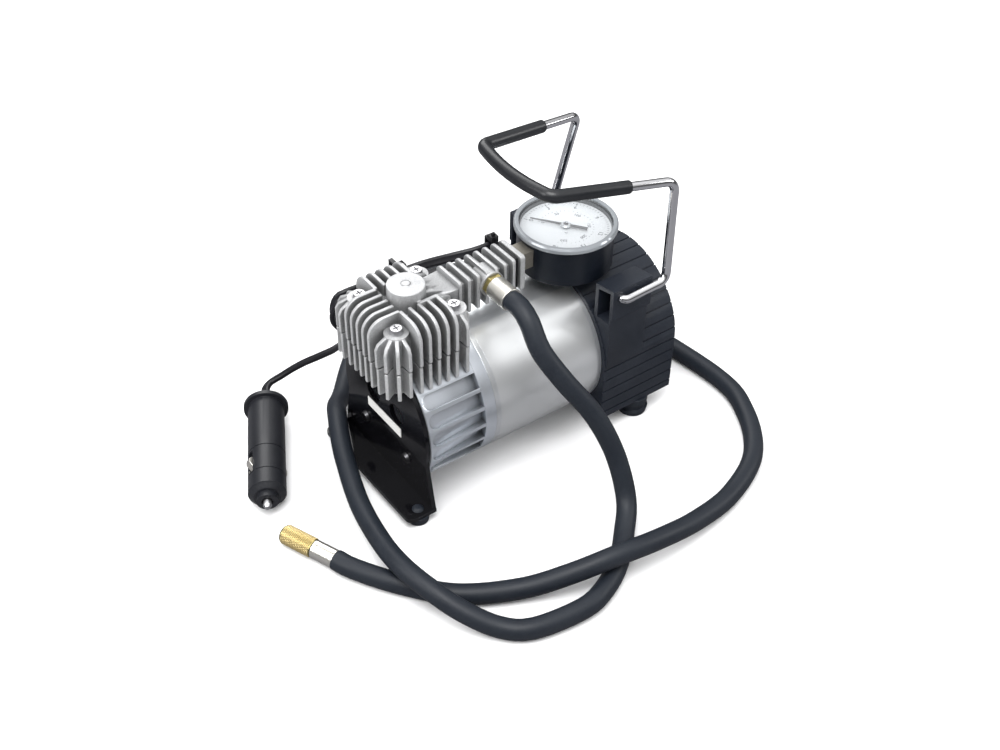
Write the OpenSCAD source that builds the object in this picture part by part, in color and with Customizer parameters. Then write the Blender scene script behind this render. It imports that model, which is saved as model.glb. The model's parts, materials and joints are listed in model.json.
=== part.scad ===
// Portable 12 V tyre inflator: direct-drive piston pump, gauge, air hose, power lead.
// Millimetres. +X runs from the pump to the switch end, -Y is the hose side, +Z is up.
// The origin is on the ground, under the middle of the machine.

/* [Motor] */
// Height of the motor shaft above the ground
axis_z = 47.5; // [46.5:0.5:56]
// Outer radius of the motor can, the clamp ring and the pump housing
can_r = 41; // [40:0.25:42]
// Length of the bare part of the motor can
can_l = 70.8; // [66:0.5:80]
// Wall of the motor can
can_t = 2; // [1:0.25:2.5]
// Width of the clamp ring between housing and can
ring_l = 7; // [5:0.5:9]
// Radius of the motor shaft
shaft_r = 4; // [3:0.25:4.5]

/* [Pump] */
// Length of the ribbed pump housing
house_l = 34.7; // [34:0.1:38]
// Radius of the cylinder bore
bore_r = 12.5; // [11:0.25:12.75]
// Throw of the crank pin, half the piston stroke
crank_throw = 8; // [6:0.5:8.5]
// Half the width of the square cylinder head
head_half = 30; // [29:0.5:31]
// Height of the cylinder head over its fins
head_h = 23.8; // [22:0.2:26]
// Thickness of one cooling fin
fin_t = 2; // [1.2:0.1:2.2]
// Spacing of the fins on the head
fin_pitch = 5.4; // [5:0.1:5.8]

/* [Outlet arm and gauge] */
// Half the width of the finned outlet arm
arm_half = 10.4; // [9:0.2:12]
// Spacing of the fins on the outlet arm
arm_pitch = 5.67; // [5.4:0.05:6]
// Outer radius of the gauge bezel
bezel_r = 28.3; // [27:0.1:29]
// Height of the gauge with its bezel
gauge_h = 24.8; // [23:0.2:27]

/* [End cap and handle] */
// Length of the end cap
cap_l = 51.4; // [50:0.5:60]
// How far the end cap stands out over the motor can
cap_side = 3.2; // [2.8:0.1:4]
// Wall of the end cap
cap_t = 2.5; // [2:0.1:3]
// Radius of the chromed handle wire
wire_r = 2.5; // [2:0.1:2.7]
// Radius of the soft grip on the handle
grip_r = 3.6; // [3:0.1:4.2]
// Height of the handle's crossbar above the ground
handle_top = 165.6; // [158:1:175]

/* [Bracket and feet] */
// Thickness of the front bracket's steel
plate_t = 2.5; // [1.5:0.25:3]
// Depth of the bracket's foot flange
flange_l = 14.8; // [14:0.2:20]
// Half the width of the bracket at its foot
flange_half = 44; // [42:0.5:48]
// Height of the front rubber feet
front_foot_h = 5; // [4:0.5:6]
// Height of the rear rubber feet, up to the end cap
rear_foot_h = 11.7; // [10:0.1:14]

/* [Hose, lead and plug] */
// Outer diameter of the air hose
hose_d = 11; // [9:0.5:11]
// Diameter of the round tube that stands for the twin lead, which is its width
lead_d = 5.4; // [4.5:0.1:5.6]
// Radius of the knurled valve connector
chuck_r = 5.1; // [4.8:0.1:5.4]
// Radius of the barrel of the car plug
plug_r = 10.3; // [10:0.1:10.5]

/* [Hidden] */
$fn = 72;
fit_gap = 0.05;      // a seated or running fit, on the radius
run_gap = 0.3;       // air between moving faces that aren't a fit
part_gap = 0.9;      // open line between the fins of the head and of the block
part_step = 0.5;     // the block's fins stand back from those of the head
overlap = 0.01;      // sinks a cutter past the face that it leaves through
up = [0, 0, 1];

// Places along the machine, from its front to its back
bezel_t = 2;         // switch bezel, the rearmost face
overall_l = flange_l + plate_t + house_l + ring_l + can_l + cap_l + bezel_t;
x_flange = -overall_l / 2;
x_plate = x_flange + flange_l;
x_house = x_plate + plate_t;
x_ring = x_house + house_l;
x_can = x_ring + ring_l;
x_cap = x_can + can_l;
x_rear = x_cap + cap_l;

// Pump: its crank turns at the top of the stroke
head_x = x_house + 13.9;
head_z = axis_z + can_r + 6.7;
head_top = head_z + head_h;
fins_z = head_z - 17.7;          // underside of the cylinder block's fins
core_half = 22;                  // solid core between the fins
shoulder_r = 9;                  // rounding of a fin's outer shoulder
head_back = 25;                  // reach of the rear screw posts' ribs
boss_r = 10;
boss_h = 5.1;                    // boss over the fin tops
screw_off = 17.3;                // head screws from the cylinder's axis
pad_drop = 6.5;                  // screw pads below the fin tops
post_r = 6.3;
head_screw_r = 1.9;
screw_hole_r = head_screw_r + 0.15;
seat_r = 17;                     // valve plate and gasket
plate_h = 1.5;
gasket_t = 0.5;
liner_t = 1.1;
liner_z = head_z - 31.2;         // foot of the liner
valve_z = head_z - plate_h - gasket_t;
crown_z = valve_z - 0.6;         // piston crown at the top of the stroke
piston_r = bore_r - 0.2;
piston_h = 13;
pin_z = crown_z - 7;
pin_r = 2.5;
rod_half = 3;
big_end_r = 7.5;
crank_pin_r = 3.5;
web_r = 14.5;
web_x = head_x + rod_half + 0.4;
web_t = 6;
weight_t = 3;
chamber_r = 24;
rib_turn = 15;                   // degrees between the ribs of the housing
rib_w = 2.2;
pocket_slope = 5;
bearing_r = 11;
bearing_l = 7;

// Outlet arm
arm_z = head_z + 2.8;
arm_count = 8;
arm_x = head_x + 26.3;           // middle of the first fin
arm_end = arm_x + (arm_count - 1) * arm_pitch;
end_plate_t = 3;
arm_face = arm_end + end_plate_t / 2;
arm_core = 6.5;
port_x = head_x + 45.4;
port_z = head_top - 8;
deck_z = port_z + 4.5;           // top of the neck between boss and arm
deck_half = 7.5;                  // its half width at the boss
deck_rib_l = 9;                   // how far its ribs reach past the boss

// Gauge
gauge_x = arm_face + 34.7;
gauge_top = head_top + 3.2;
gauge_z = gauge_top - gauge_h;
case_r = bezel_r - 1.9;
case_t = 1.5;
bezel_h = 3.2;
bezel_lap = 0.9;                 // how far the bezel reaches in over the lens
stop_turn = 234;                 // where the needle's stop pin stands
dial_z = gauge_top - 5.2;
needle_z = dial_z + 1.2;
needle_l = 20;
needle_turn = 126;               // where the needle rests, at the zero of the scale
pinion_r = 2.4;
sector_x = gauge_x + 14;
sector_r = 14 - pinion_r - run_gap;
movement_z = gauge_z + 2.05;
stem_half = 5.3;
stem_z = gauge_top - 11.7;

// Motor inside
cap_lip = 3;                     // front wall of the cap, round the end of the can
can_end = x_cap + cap_lip;
core_r = 27;
core_x = x_can + 4;
core_l = 40;
slot_count = 12;
magnet_in = core_r + 1;
magnet_out = can_r - can_t - 0.1;
comm_x = core_x + core_l + 9;
comm_r = 9;
comm_l = 12;
bell_x = can_end - 4;
rear_bearing_r = 8;
rear_bearing_l = 6;
fan_x = can_end + 12;
fan_r = 33;
fan_l = 12;
shaft_end = fan_x + fan_l + 1;

// End cap
cap_half = can_r + cap_side;
cap_z = rear_foot_h;
groove_turn = 10;                // degrees between the grooves over the top
groove_step = 7.8;
groove_w = 0.8;
groove_depth = 0.7;
ear_x = x_cap + 0.5;
ear_l = 26.8;
ear_half = cap_half + 1.8;
cap_screw_r = 1.6;
cap_screw_y = cap_half - 10.2;    // either side of the axis
ear_in = ear_half - 14.6;
ear_z = axis_z + 36.5;
ear_top = ear_z + 19;
deck_fall = 2.4;
panel_half = cap_half + 0.7;
pivot_x = x_cap + 6;
pivot_z = ear_z + 13.5;
switch_z = 34;
rocker_in = 8;                   // its pivot inside the cap's rear face
rocker_tilt = 8;

// Handle, from its pivots up, back and forward over the gauge
leg_y = ear_half + wire_r + run_gap;
handle_bend = 6;
pivot_bend = 2.7;
bow_bend = 40;
elbow = [x_cap + 34.2, leg_y, pivot_z + 1];
shoulder = [x_cap + 41.6, leg_y - 8.4, handle_top - 11.6];
corner = [x_cap - 30.9, leg_y - 19.5, handle_top];
crossbar_bow = 4;
grip_gap = 0.15;                 // between the grip and the wire in it
bar_sides = 12;
pivot_r = wire_r + 0.06;         // turned end of the wire, in the ear
grip_from = 0.38;                // part of the forward arm that is bare wire

// Bracket and feet
flange_z = front_foot_h;
plate_top = fins_z - 1.5;
front_foot_r = 6.5;
front_foot_y = flange_half - 5.5;
plate_r = can_r - 1.3;
flange_round = 4;
rear_foot_r = 9;
rear_foot_x = 30;                // behind the cap's front face
rear_foot_y = cap_half - 7;
sole_h = 4;
bracket_screw_y = 20.1;
bracket_screw_z = 27.7;

// Hose: crimped on at the arm, screwed to a tyre valve at its other end
hose_r = hose_d / 2;
hz = hose_r;
ferrule_r = hose_r + 0.8;
inlet_y = -(arm_half + 4.1);
inlet_end = inlet_y - 13.5;
end_turn = 112;                  // heading of the hose's far end, degrees from +X
hose_end = [-135.4, -42.6, hz];
hose_dir = [cos(end_turn), sin(end_turn), 0];
out_ferrule_l = 14;
chuck_l = 20;
chuck_round = 1.1;
valve_r = 3.9;                   // thread that takes a tyre valve
hose_sides = 12;
hose_route = [
    [port_x, inlet_end, port_z], [port_x, inlet_end - 0.7 * hose_d, port_z],
    [-15.4, -44, 107], [-15.2, -54, 95], [-8.3, -65.5, 79.2], [3, -77.3, 58.8],
    [10.3, -88, 35], [9, -101, 13.5], [-2, -113.5, 6.3], [-18, -128, hz],
    [-34.9, -137.5, hz], [-51.9, -141.2, hz], [-79.6, -136.6, hz], [-93, -126.5, 6],
    [-104, -112, 11], [-111.3, -96, 15.8], [-115.6, -74.5, 17.4], [-113.4, -50, 13.6],
    [-107.5, -20, 11.5], [-98.5, 8.8, 15], [-92, 25, 17], [-84.5, 40.5, 16.4],
    [-79, 50.8, 13.2], [-69.5, 61.5, 9], [-50, 85, hz], [-25, 109, hz],
    [28, 131, hz], [62, 122, hz], [88, 99, hz], [105, 66, hz],
    [114, 25, hz], [123, -50, hz], [115, -83, hz],
    [94, -111, hz], [63, -126, hz], [32, -132, 9], [2, -134, 15],
    [-22, -132, 17.5], [-46, -125, 13], [-70, -114, 7], [-98, -97, hz],
    [-118, -74, hz], hose_end - hose_dir * hose_d, hose_end];

// Twin lead: out of the cap, a coil behind the machine, up to the arm and down to the plug
lead_r = lead_d / 2;
lz = lead_r;
lead_sides = 8;
gland_x = x_cap + 32;
gland_z = 28;
gland_l = 22;
coil_x = 27;
coil_y = 84;
coil_r = 27;                     // middle of its turns
coil_pitch = lead_d + 0.55;
coil_layers = 4;
coil_turns = 10.25;
coil_start = 0.25;               // where its first turn starts, in turns from +X
coil_sides = 6;
coil_steps = 24;                 // rings in one turn
layer_turns = coil_turns / coil_layers;
coil_in = coil_r - coil_pitch * layer_turns / 2;
entry_route = [
    [gland_x, cap_half + gland_l - 3, gland_z], [gland_x, cap_half + gland_l + 3, gland_z],
    [71, 80, 25], [70, 94, 15.5], [61, 110, 6], [51, 117, lz]];
tie_a_x = arm_end - end_plate_t / 2 - 1.6;
tie_b_x = head_x + 14.2;
tie_b_near = core_half + 1.8;     // second tie's strap, clear of the head's core
tie_b_far = 37.8;                 // and past the lead
tie_w = 2.4;
tie_t = 1.1;
tie_lip = 0.9;                   // its head stands out beside the strap
lead_top = head_top - 5.5;       // the lead beside the arm
run_middle = [
    [-5, 64, 25], [1, 51.5, 46], [5, 41, 74], [7, 33, 91],
    [8, 23, 104], [6.5, 15.5, 111.5], [2, 13.7, 113.5]];
run_last = [
    [-8, 15.5, 112.5], [-20, 22, 109.5], [-30, 30, 104.8], [-40, 33.5, 102.5],
    [-53, 34, 102.5], [-75, 34.5, 103], [-80.5, 35.5, 101], [-83.4, 36.5, 94],
    [-82.5, 38, 86], [-77, 41, 76], [-71.3, 47.5, 62.5], [-70, 62, 44.5],
    [-75, 73, 33.5], [-81, 80, 27], [-87, 86, 20.5], [-93.3, 90, 15],
    [-99.3, 91.8, 12]];

// Plug: it lies on its flange and on the rim of its nose
plug_l = 67.5;
flange_r = 12.6;
flange_t = 2.5;
seam_1 = 39.5;
seam_2 = 56.8;
contact_s = 42.5;
contact_l = 13;
plug_tilt = asin((flange_r - plug_r) / (plug_l - flange_t));
plug_at = [-111.6, 74.6, flange_r];
plug_roll = 35;                  // its contacts turned about its axis
plug_end = 2.6;                  // cone between the barrel's rim and the nose
plug_turn = -118.2;              // heading of its nose, degrees from +X
plug_stub = 9;                   // strain relief behind the flange
plug_dir = [cos(plug_turn) * cos(plug_tilt), sin(plug_turn) * cos(plug_tilt),
    -sin(plug_tilt)];
plug_entry = plug_at - plug_dir * plug_stub;

// ---------------------------------------------------------------- helpers

// Lays a piece that was drawn along +Z along +X, its foot at x
module along_x(x, y = 0, z = 0) {
    translate([x, y, z]) rotate([0, 90, 0]) children();
}

// A piece on the motor's axis, its foot at x
module on_axis(x) {
    along_x(x, 0, axis_z) children();
}

// A ring drawn along +Z
module ring(out_r, in_r, h) {
    difference() {
        cylinder(r = out_r, h = h);
        translate([0, 0, -overlap]) cylinder(r = in_r, h = h + 2 * overlap);
    }
}

function unit(v) = v / norm(v);

// Points of an arc about (cx, cy), both ends included
function arc(cx, cy, r, from, to, steps) = [
    for (i = [0 : steps]) let (a = from + (to - from) * i / steps)
        [cx + r * cos(a), cy + r * sin(a)]];

// Points of the rounded corner at c, between p and q
function corner_arc(p, c, q, bend_r, steps) = let (
    u = unit(c - p), w = unit(q - c), turn = acos(u * w), n = unit(w - u * (u * w)),
    middle = c - u * bend_r * tan(turn / 2) + n * bend_r)
    [for (i = [0 : steps]) let (a = turn * i / steps)
        middle - n * bend_r * cos(a) + u * bend_r * sin(a)];

// A path with its inner corners rounded
function bent_path(path, bends, steps) = concat([path[0]],
    [for (i = [1 : len(path) - 2])
        each corner_arc(path[i - 1], path[i], path[i + 1], bends[i - 1], steps)],
    [path[len(path) - 1]]);

// A normal carried along the curve without twist
function carried(path, v, i = 0) = i >= len(path) ? [] :
    let (t = heading(path, i), n = unit(v - t * (v * t)))
    concat([n], carried(path, n, i + 1));
function heading(path, i) =
    unit(path[min(i + 1, len(path) - 1)] - path[max(i - 1, 0)]);
function path_length(path) = len(path) < 2 ? 0 :
    [for (i = 0, s = 0; i < len(path); i = i + 1,
        s = i < len(path) ? s + norm(path[i] - path[i - 1]) : s) s][len(path) - 1];

// One unbroken tube round a path
module tube(path, r, sides, side = up) {
    n = len(path);
    normals = carried(path, side);
    points = [for (i = [0 : n - 1]) let (t = heading(path, i), b = cross(t, normals[i]))
        for (k = [0 : sides - 1]) let (a = 360 * k / sides)
            path[i] + r * (normals[i] * cos(a) + b * sin(a))];
    walls = [for (i = [0 : n - 2]) for (k = [0 : sides - 1])
        let (a = i * sides + k, b = i * sides + (k + 1) % sides)
            each [[a, a + sides, b], [b, a + sides, b + sides]]];
    caps = [for (k = [1 : sides - 2])
        each [[0, k, k + 1], [(n - 1) * sides, (n - 1) * sides + k + 1, (n - 1) * sides + k]]];
    polyhedron(points, concat(walls, caps), convexity = 10);
}

// ---------------------------------------------------------------- pump

// Outline of a fin that runs outward from the cylinder, with a rounded shoulder
function fin_outline(inner, outer, bottom, top) = concat(
    [[inner, bottom], [inner, top]],
    [for (p = arc(outer - shoulder_r, top - shoulder_r, shoulder_r, 90, 0, 8)) p],
    [[outer, bottom]]);

// The outlines of four sides of fins: 0 is +X, 90 is +Y
module side_fins(turn, bottom, top, rounded) {
    rotate([0, 0, turn]) for (k = [-2 : 2])
        translate([0, k * fin_pitch + fin_t / 2, 0]) rotate([90, 0, 0])
            linear_extrude(fin_t)
                if (rounded) polygon(fin_outline(boss_r + 1, head_half, bottom, top));
                else polygon([[core_half - 1, bottom], [core_half - 1, top],
                    [head_half - part_step, top], [head_half - part_step, bottom]]);
}

// The post for one corner screw, with its short ribs
module corner_post(sx, sy, bottom, top) {
    translate([sx * screw_off, sy * screw_off, bottom]) {
        cylinder(r = post_r, h = top - bottom);
        base = sx > 0 ? (sy > 0 ? 0 : -90) : (sy > 0 ? 90 : 180);
        for (a = [0 : 30 : 90]) let (
            reach = (abs(cos(base + a)) * sx > 0.4 ? head_back : head_half) - screw_off)
            rotate([90, 0, base + a]) translate([0, 0, -fin_t / 2])
                linear_extrude(fin_t) polygon([[0, 0], [0, top - bottom],
                    [post_r, top - bottom - 0.5], [reach - 1.5, top - bottom - 3],
                    [reach, top - bottom - 6], [reach, 0]]);
    }
}

module corners() {
    for (sx = [-1, 1], sy = [-1, 1]) translate([sx * screw_off, sy * screw_off, 0])
        children();
}

// The body of the head between its fins, rounded towards every side
module head_core() {
    outline = concat([[-core_half, 0]],
        arc(-core_half + 7, head_h - 14, 7, 180, 90, 5),
        arc(core_half - 7, head_h - 14, 7, 90, 0, 5), [[core_half, 0]]);
    intersection() {
        rotate([90, 0, 0]) translate([0, 0, -core_half]) linear_extrude(2 * core_half)
            polygon(outline);
        rotate([90, 0, 90]) translate([0, 0, -core_half]) linear_extrude(2 * core_half)
            polygon(outline);
    }
}

module outlet_arm() {
    neck_l = arm_x - head_x;
    // tapering deck from the boss to the first fin
    translate([head_x, 0, arm_z]) linear_extrude(deck_z - arm_z)
        polygon([[0, -deck_half], [neck_l, -arm_half + 0.5], [neck_l, arm_half - 0.5],
            [0, deck_half]]);
    // core that the fins stand on
    translate([head_x, -arm_core, arm_z + 2])
        cube([arm_face - head_x, 2 * arm_core, head_top - arm_z - 6.5]);
    for (i = [0 : arm_count - 1]) {
        w = i == arm_count - 1 ? end_plate_t : fin_t;
        translate([arm_x + i * arm_pitch - w / 2, 0, 0]) rotate([90, 0, 90])
            linear_extrude(w) polygon(concat(
                [[-arm_half, arm_z], [arm_half, arm_z]],
                arc(arm_half - 3, head_top - 3, 3, 0, 90, 4),
                arc(1.5 - arm_half, head_top - 1.5, 1.5, 90, 180, 3)));
    }
    // ribs that slope from the boss down into the deck
    for (k = [-2 : 2]) translate([head_x, k * fin_pitch + fin_t / 2, 0]) rotate([90, 0, 0])
        linear_extrude(fin_t) polygon([[0, head_z], [0, head_top], [boss_r + 1, head_top],
            [boss_r + deck_rib_l, deck_z - 0.4], [boss_r + deck_rib_l, head_z]]);
    // boss round the outlet port
    translate([port_x, 0, port_z]) rotate([90, 0, 0]) cylinder(r = 7, h = arm_half + 1.2);
}

module cylinder_head() {
    color("Silver") difference() {
        union() {
            translate([head_x, 0, head_z]) head_core();
            translate([head_x, 0, 0]) for (turn = [90, 180, 270])
                side_fins(turn, head_z, head_top, true);
            for (sx = [-1, 1], sy = [-1, 1])
                translate([head_x, 0, 0]) corner_post(sx, sy, head_z, head_top - pad_drop);
            translate([head_x, 0, head_z]) cylinder(r = boss_r, h = head_h + boss_h);
            translate([head_x, 0, head_z]) cylinder(r = 2.4, h = head_h + boss_h + 0.6);
            outlet_arm();
            // lug that the second cable tie goes round
            translate([tie_b_x - 3.5, tie_b_near + 1.2, head_z + 2]) cube([7, 3, 8]);
        }
        translate([head_x, 0, -overlap]) corners() cylinder(r = screw_hole_r, h = 2 * head_top);
        // outlet chamber, passage along the arm and port to the hose
        translate([head_x, 0, head_z - overlap]) cylinder(r = bore_r - 0.5, h = 7);
        along_x(head_x, 0, port_z) cylinder(r = 2.5, h = arm_face - head_x + overlap);
        translate([head_x, 0, head_z]) cylinder(r = 2.5, h = port_z - head_z);
        translate([port_x, 0, port_z]) rotate([90, 0, 0])
            cylinder(r = 3.6, h = arm_half + 2);
    }
}

module head_screws() {
    color("Gainsboro") translate([head_x, 0, 0]) corners() difference() {
        union() {
            translate([0, 0, fins_z + 3])
                cylinder(r = head_screw_r, h = head_top - pad_drop - fins_z - 3);
            translate([0, 0, head_top - pad_drop]) cylinder(r1 = 3.7, r2 = 3, h = 2.8);
        }
        for (a = [0, 90]) rotate([0, 0, a])
            translate([-2, -0.4, head_top - pad_drop + 1.4]) cube([4, 0.8, 2]);
    }
}

module head_gasket() {
    color("DimGray") translate([head_x, 0, head_z - gasket_t])
        ring(seat_r, bore_r, gasket_t);
}

module valve_plate() {
    color("LightSlateGray") translate([head_x, 0, valve_z]) difference() {
        cylinder(r = seat_r, h = plate_h);
        for (s = [-1, 1]) translate([0, s * 5, -overlap])
            cylinder(r = 1.6, h = plate_h + 2 * overlap);
    }
}

module reed_valves() {
    color("SteelBlue") translate([head_x, 0, 0]) {
        translate([-9, 3, valve_z + plate_h]) cube([13, 4, 0.25]);
        translate([-9, -7, valve_z - 0.25]) cube([13, 4, 0.25]);
    }
}

module cylinder_block() {
    color("LightGray") difference() {
        translate([head_x, 0, 0]) union() {
            translate([-core_half, -core_half, fins_z])
                cube([2 * core_half, 2 * core_half, head_z - fins_z]);
            for (turn = [90, 180, 270]) side_fins(turn, fins_z, head_z - part_gap, false);
            for (sx = [-1, 1], sy = [-1, 1]) intersection() {
                corner_post(sx, sy, fins_z, head_z + 8);
                translate([part_step - head_half, part_step - head_half, fins_z])
                    cube([2 * (head_half - part_step), 2 * (head_half - part_step),
                        head_z - part_gap - fins_z]);
            }
        }
        on_axis(x_house) cylinder(r = can_r + fit_gap, h = 2 * can_l);
        translate([head_x, 0, fins_z - overlap])
            cylinder(r = bore_r + liner_t + fit_gap, h = head_z - fins_z + 2 * overlap);
        translate([head_x, 0, valve_z]) cylinder(r = seat_r + fit_gap, h = 3);
        translate([head_x, 0, fins_z + 2]) corners()
            cylinder(r = screw_hole_r, h = head_z - fins_z);
    }
}

module cylinder_liner() {
    color("SlateGray") translate([head_x, 0, liner_z])
        ring(bore_r + liner_t, bore_r, valve_z - liner_z);
}

module piston() {
    color("WhiteSmoke") translate([head_x, 0, crown_z - piston_h]) difference() {
        cylinder(r = piston_r, h = piston_h);
        translate([0, 0, piston_h - 3.6]) ring(piston_r + 1, piston_r - 1.6, 2);
        translate([-rod_half - 0.4, -7.5, -overlap])
            cube([2 * rod_half + 0.8, 15, piston_h - 1.5]);
        along_x(-piston_r - 1, 0, piston_h - 7)
            cylinder(r = pin_r + fit_gap, h = 2 * piston_r + 2);
    }
}

module piston_ring() {
    color("Sienna") translate([head_x, 0, crown_z - 3.6 + fit_gap])
        ring(bore_r - fit_gap, piston_r - 1.5, 2 - 2 * fit_gap);
}

module wrist_pin() {
    color("LightSteelBlue") along_x(head_x - piston_r + 2, 0, pin_z)
        cylinder(r = pin_r, h = 2 * piston_r - 4);
}

module connecting_rod() {
    big_z = axis_z + crank_throw;
    color("Silver") translate([head_x, 0, 0]) difference() {
        union() {
            along_x(-rod_half, 0, pin_z) cylinder(r = 5, h = 2 * rod_half);
            along_x(-rod_half, 0, big_z) cylinder(r = big_end_r, h = 2 * rod_half);
            translate([-2, -3.2, big_z]) cube([4, 6.4, pin_z - big_z]);
        }
        along_x(-10, 0, pin_z) cylinder(r = pin_r + fit_gap, h = 20);
        along_x(-10, 0, big_z) cylinder(r = crank_pin_r + fit_gap, h = 20);
    }
}

// The crank pin stays with the rod: the closed linkage is open at its far end
module crank_pin() {
    color("LightSteelBlue") along_x(head_x - rod_half, 0, axis_z + crank_throw)
        cylinder(r = crank_pin_r, h = 2 * rod_half);
}

module crank_web() {
    color("DarkGray") on_axis(web_x) difference() {
        union() {
            cylinder(r = web_r, h = web_t);
            intersection() {
                cylinder(r = web_r, h = web_t + weight_t);
                translate([2, -web_r, 0]) cube([web_r, 2 * web_r, web_t + weight_t]);
            }
        }
        translate([0, 0, -overlap]) cylinder(r = shaft_r + fit_gap / 2, h = 20);
        translate([-crank_throw, 0, -overlap]) cylinder(r = crank_pin_r + 0.4, h = 4);
    }
}

// Ball bearings of the shaft, both with a relieved face
module motor_bearings() {
    color("Gainsboro") {
        on_axis(x_ring - bearing_l) difference() {
            ring(bearing_r, shaft_r + fit_gap, bearing_l);
            for (z = [-overlap, bearing_l - 0.6]) translate([0, 0, z])
                ring(bearing_r - 1.8, shaft_r + 2, 0.6 + overlap);
        }
        on_axis(bell_x - 3) ring(rear_bearing_r, shaft_r + fit_gap, rear_bearing_l);
    }
}

// One pocket between two ribs of the housing, open and deeper at the clamp ring
module rib_pocket() {
    pocket_w = can_r * rib_turn * PI / 180 - rib_w;
    translate([can_r, 0, 0]) rotate([0, -pocket_slope, 0]) translate([-1.4, 0, 1.2]) {
        translate([0, -pocket_w / 2, pocket_w / 2]) cube([20, pocket_w, 2 * house_l]);
        translate([0, 0, pocket_w / 2]) rotate([0, 90, 0])
            cylinder(r = pocket_w / 2, h = 20);
    }
}

module pump_housing() {
    color("Silver") difference() {
        on_axis(x_house) difference() {
            cylinder(r = can_r, h = house_l);
            translate([0, 0, -overlap])
                cylinder(r = chamber_r, h = house_l - bearing_l + overlap);
            cylinder(r = bearing_r + fit_gap / 2, h = house_l + 1);
            // about +Z after along_x, 180 is up: the pockets leave the seat of the block
            for (i = [3.5 : 20.5]) rotate([0, 0, 180 + i * rib_turn]) rib_pocket();
        }
        translate([head_x, 0, axis_z])
            cylinder(r = bore_r + liner_t + fit_gap, h = can_r + 1);
        translate([head_x, 0, fins_z + 2]) corners()
            cylinder(r = screw_hole_r, h = head_z - fins_z);
    }
}

// ---------------------------------------------------------------- bracket and feet

module front_bracket() {
    waist_z = 36;
    waist = asin((axis_z - waist_z) / plate_r);
    top = asin((plate_top - axis_z) / plate_r);
    color([0.05, 0.05, 0.06]) difference() {
        union() {
            translate([x_plate, 0, 0]) rotate([90, 0, 90]) linear_extrude(plate_t)
                polygon(concat([[-flange_half, flange_z], [flange_half, flange_z]],
                    arc(0, axis_z, plate_r, -waist, top, 12),
                    arc(0, axis_z, plate_r, 180 - top, 180 + waist, 12)));
            translate([0, 0, flange_z]) linear_extrude(plate_t) polygon(concat(
                [[x_house, -flange_half], [x_house, flange_half]],
                arc(x_flange + flange_round, flange_half - flange_round, flange_round,
                    90, 180, 6),
                arc(x_flange + flange_round, flange_round - flange_half, flange_round,
                    180, 270, 6)));
        }
        for (s = [-1, 1]) {
            along_x(x_plate - 1, s * bracket_screw_y, bracket_screw_z)
                cylinder(r = 2.1, h = plate_t + 2);
            along_x(x_plate - 1, s * 11, axis_z + 4.5) cylinder(r = 6.2, h = plate_t + 2);
            translate([x_flange + 9, s * front_foot_y, flange_z - 1])
                cylinder(r = 2.1, h = plate_t + 2);
        }
        // slot beside the foot
        translate([x_plate - 1, flange_half - 7.5, flange_z + 4.5])
            cube([plate_t + 2, 1.6, 9.5]);
    }
}

module bracket_screws() {
    color("Gainsboro") for (s = [-1, 1])
        translate([x_plate, s * bracket_screw_y, bracket_screw_z]) rotate([0, -90, 0]) {
            cylinder(r1 = 3.4, r2 = 2.6, h = 2);
            translate([0, 0, -plate_t]) cylinder(r = 2, h = plate_t);
        }
}

module front_feet() {
    color([0.12, 0.12, 0.12]) for (s = [-1, 1])
        translate([x_flange + 9, s * front_foot_y, 0]) {
            cylinder(r1 = front_foot_r - 0.8, r2 = front_foot_r, h = front_foot_h);
            cylinder(r = 2, h = front_foot_h + plate_t);
            translate([0, 0, front_foot_h + plate_t]) cylinder(r1 = 3.5, r2 = 2, h = 1.5);
        }
}

module blank_plate() {
    color("White") translate([x_plate - 0.3, -15.5, axis_z - 8.7])
        cube([0.3, 32.5, 6]);
}

// ---------------------------------------------------------------- motor

module clamp_ring() {
    color("Silver") on_axis(x_ring) ring(can_r, can_r - 5, ring_l);
}

module motor_can() {
    color("Silver") on_axis(x_can) ring(can_r, can_r - can_t, can_end - x_can);
}

module magnets() {
    color("DimGray") for (turn = [90 - 62, 270 - 62]) on_axis(core_x - 3)
        rotate([0, 0, turn]) rotate_extrude(angle = 124)
            translate([magnet_in, 0]) square([magnet_out - magnet_in, core_l + 6]);
}

module slots(width, inner, outer, h) {
    for (i = [0 : slot_count - 1]) rotate([0, 0, i * 360 / slot_count])
        translate([inner, -width / 2, 0]) cube([outer - inner, width, h]);
}

module armature_core() {
    color("SlateGray") on_axis(core_x) difference() {
        ring(core_r, shaft_r + fit_gap / 2, core_l);
        translate([0, 0, -overlap]) slots(3.4, 15, core_r + 1, core_l + 2 * overlap);
    }
}

module armature_windings() {
    color("Chocolate") on_axis(core_x) {
        for (z = [-6, core_l]) translate([0, 0, z]) ring(24, 12, 6);
        translate([0, 0, -overlap]) slots(3, 15.2, 24, core_l + 2 * overlap);
    }
}

module commutator() {
    color("Peru") on_axis(comm_x) difference() {
        ring(comm_r, shaft_r + fit_gap / 2, comm_l);
        translate([0, 0, 1]) slots(0.6, comm_r - 1, comm_r + 1, comm_l);
    }
}

module motor_shaft() {
    color("LightSteelBlue") on_axis(web_x + 1) cylinder(r = shaft_r, h = shaft_end - web_x);
}

module brushes() {
    color([0.2, 0.2, 0.2]) for (s = [-1, 1])
        translate([comm_x + 3, s > 0 ? comm_r + 0.1 : -comm_r - 10.1, axis_z - 2.5])
            cube([6, 10, 5]);
}

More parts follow.
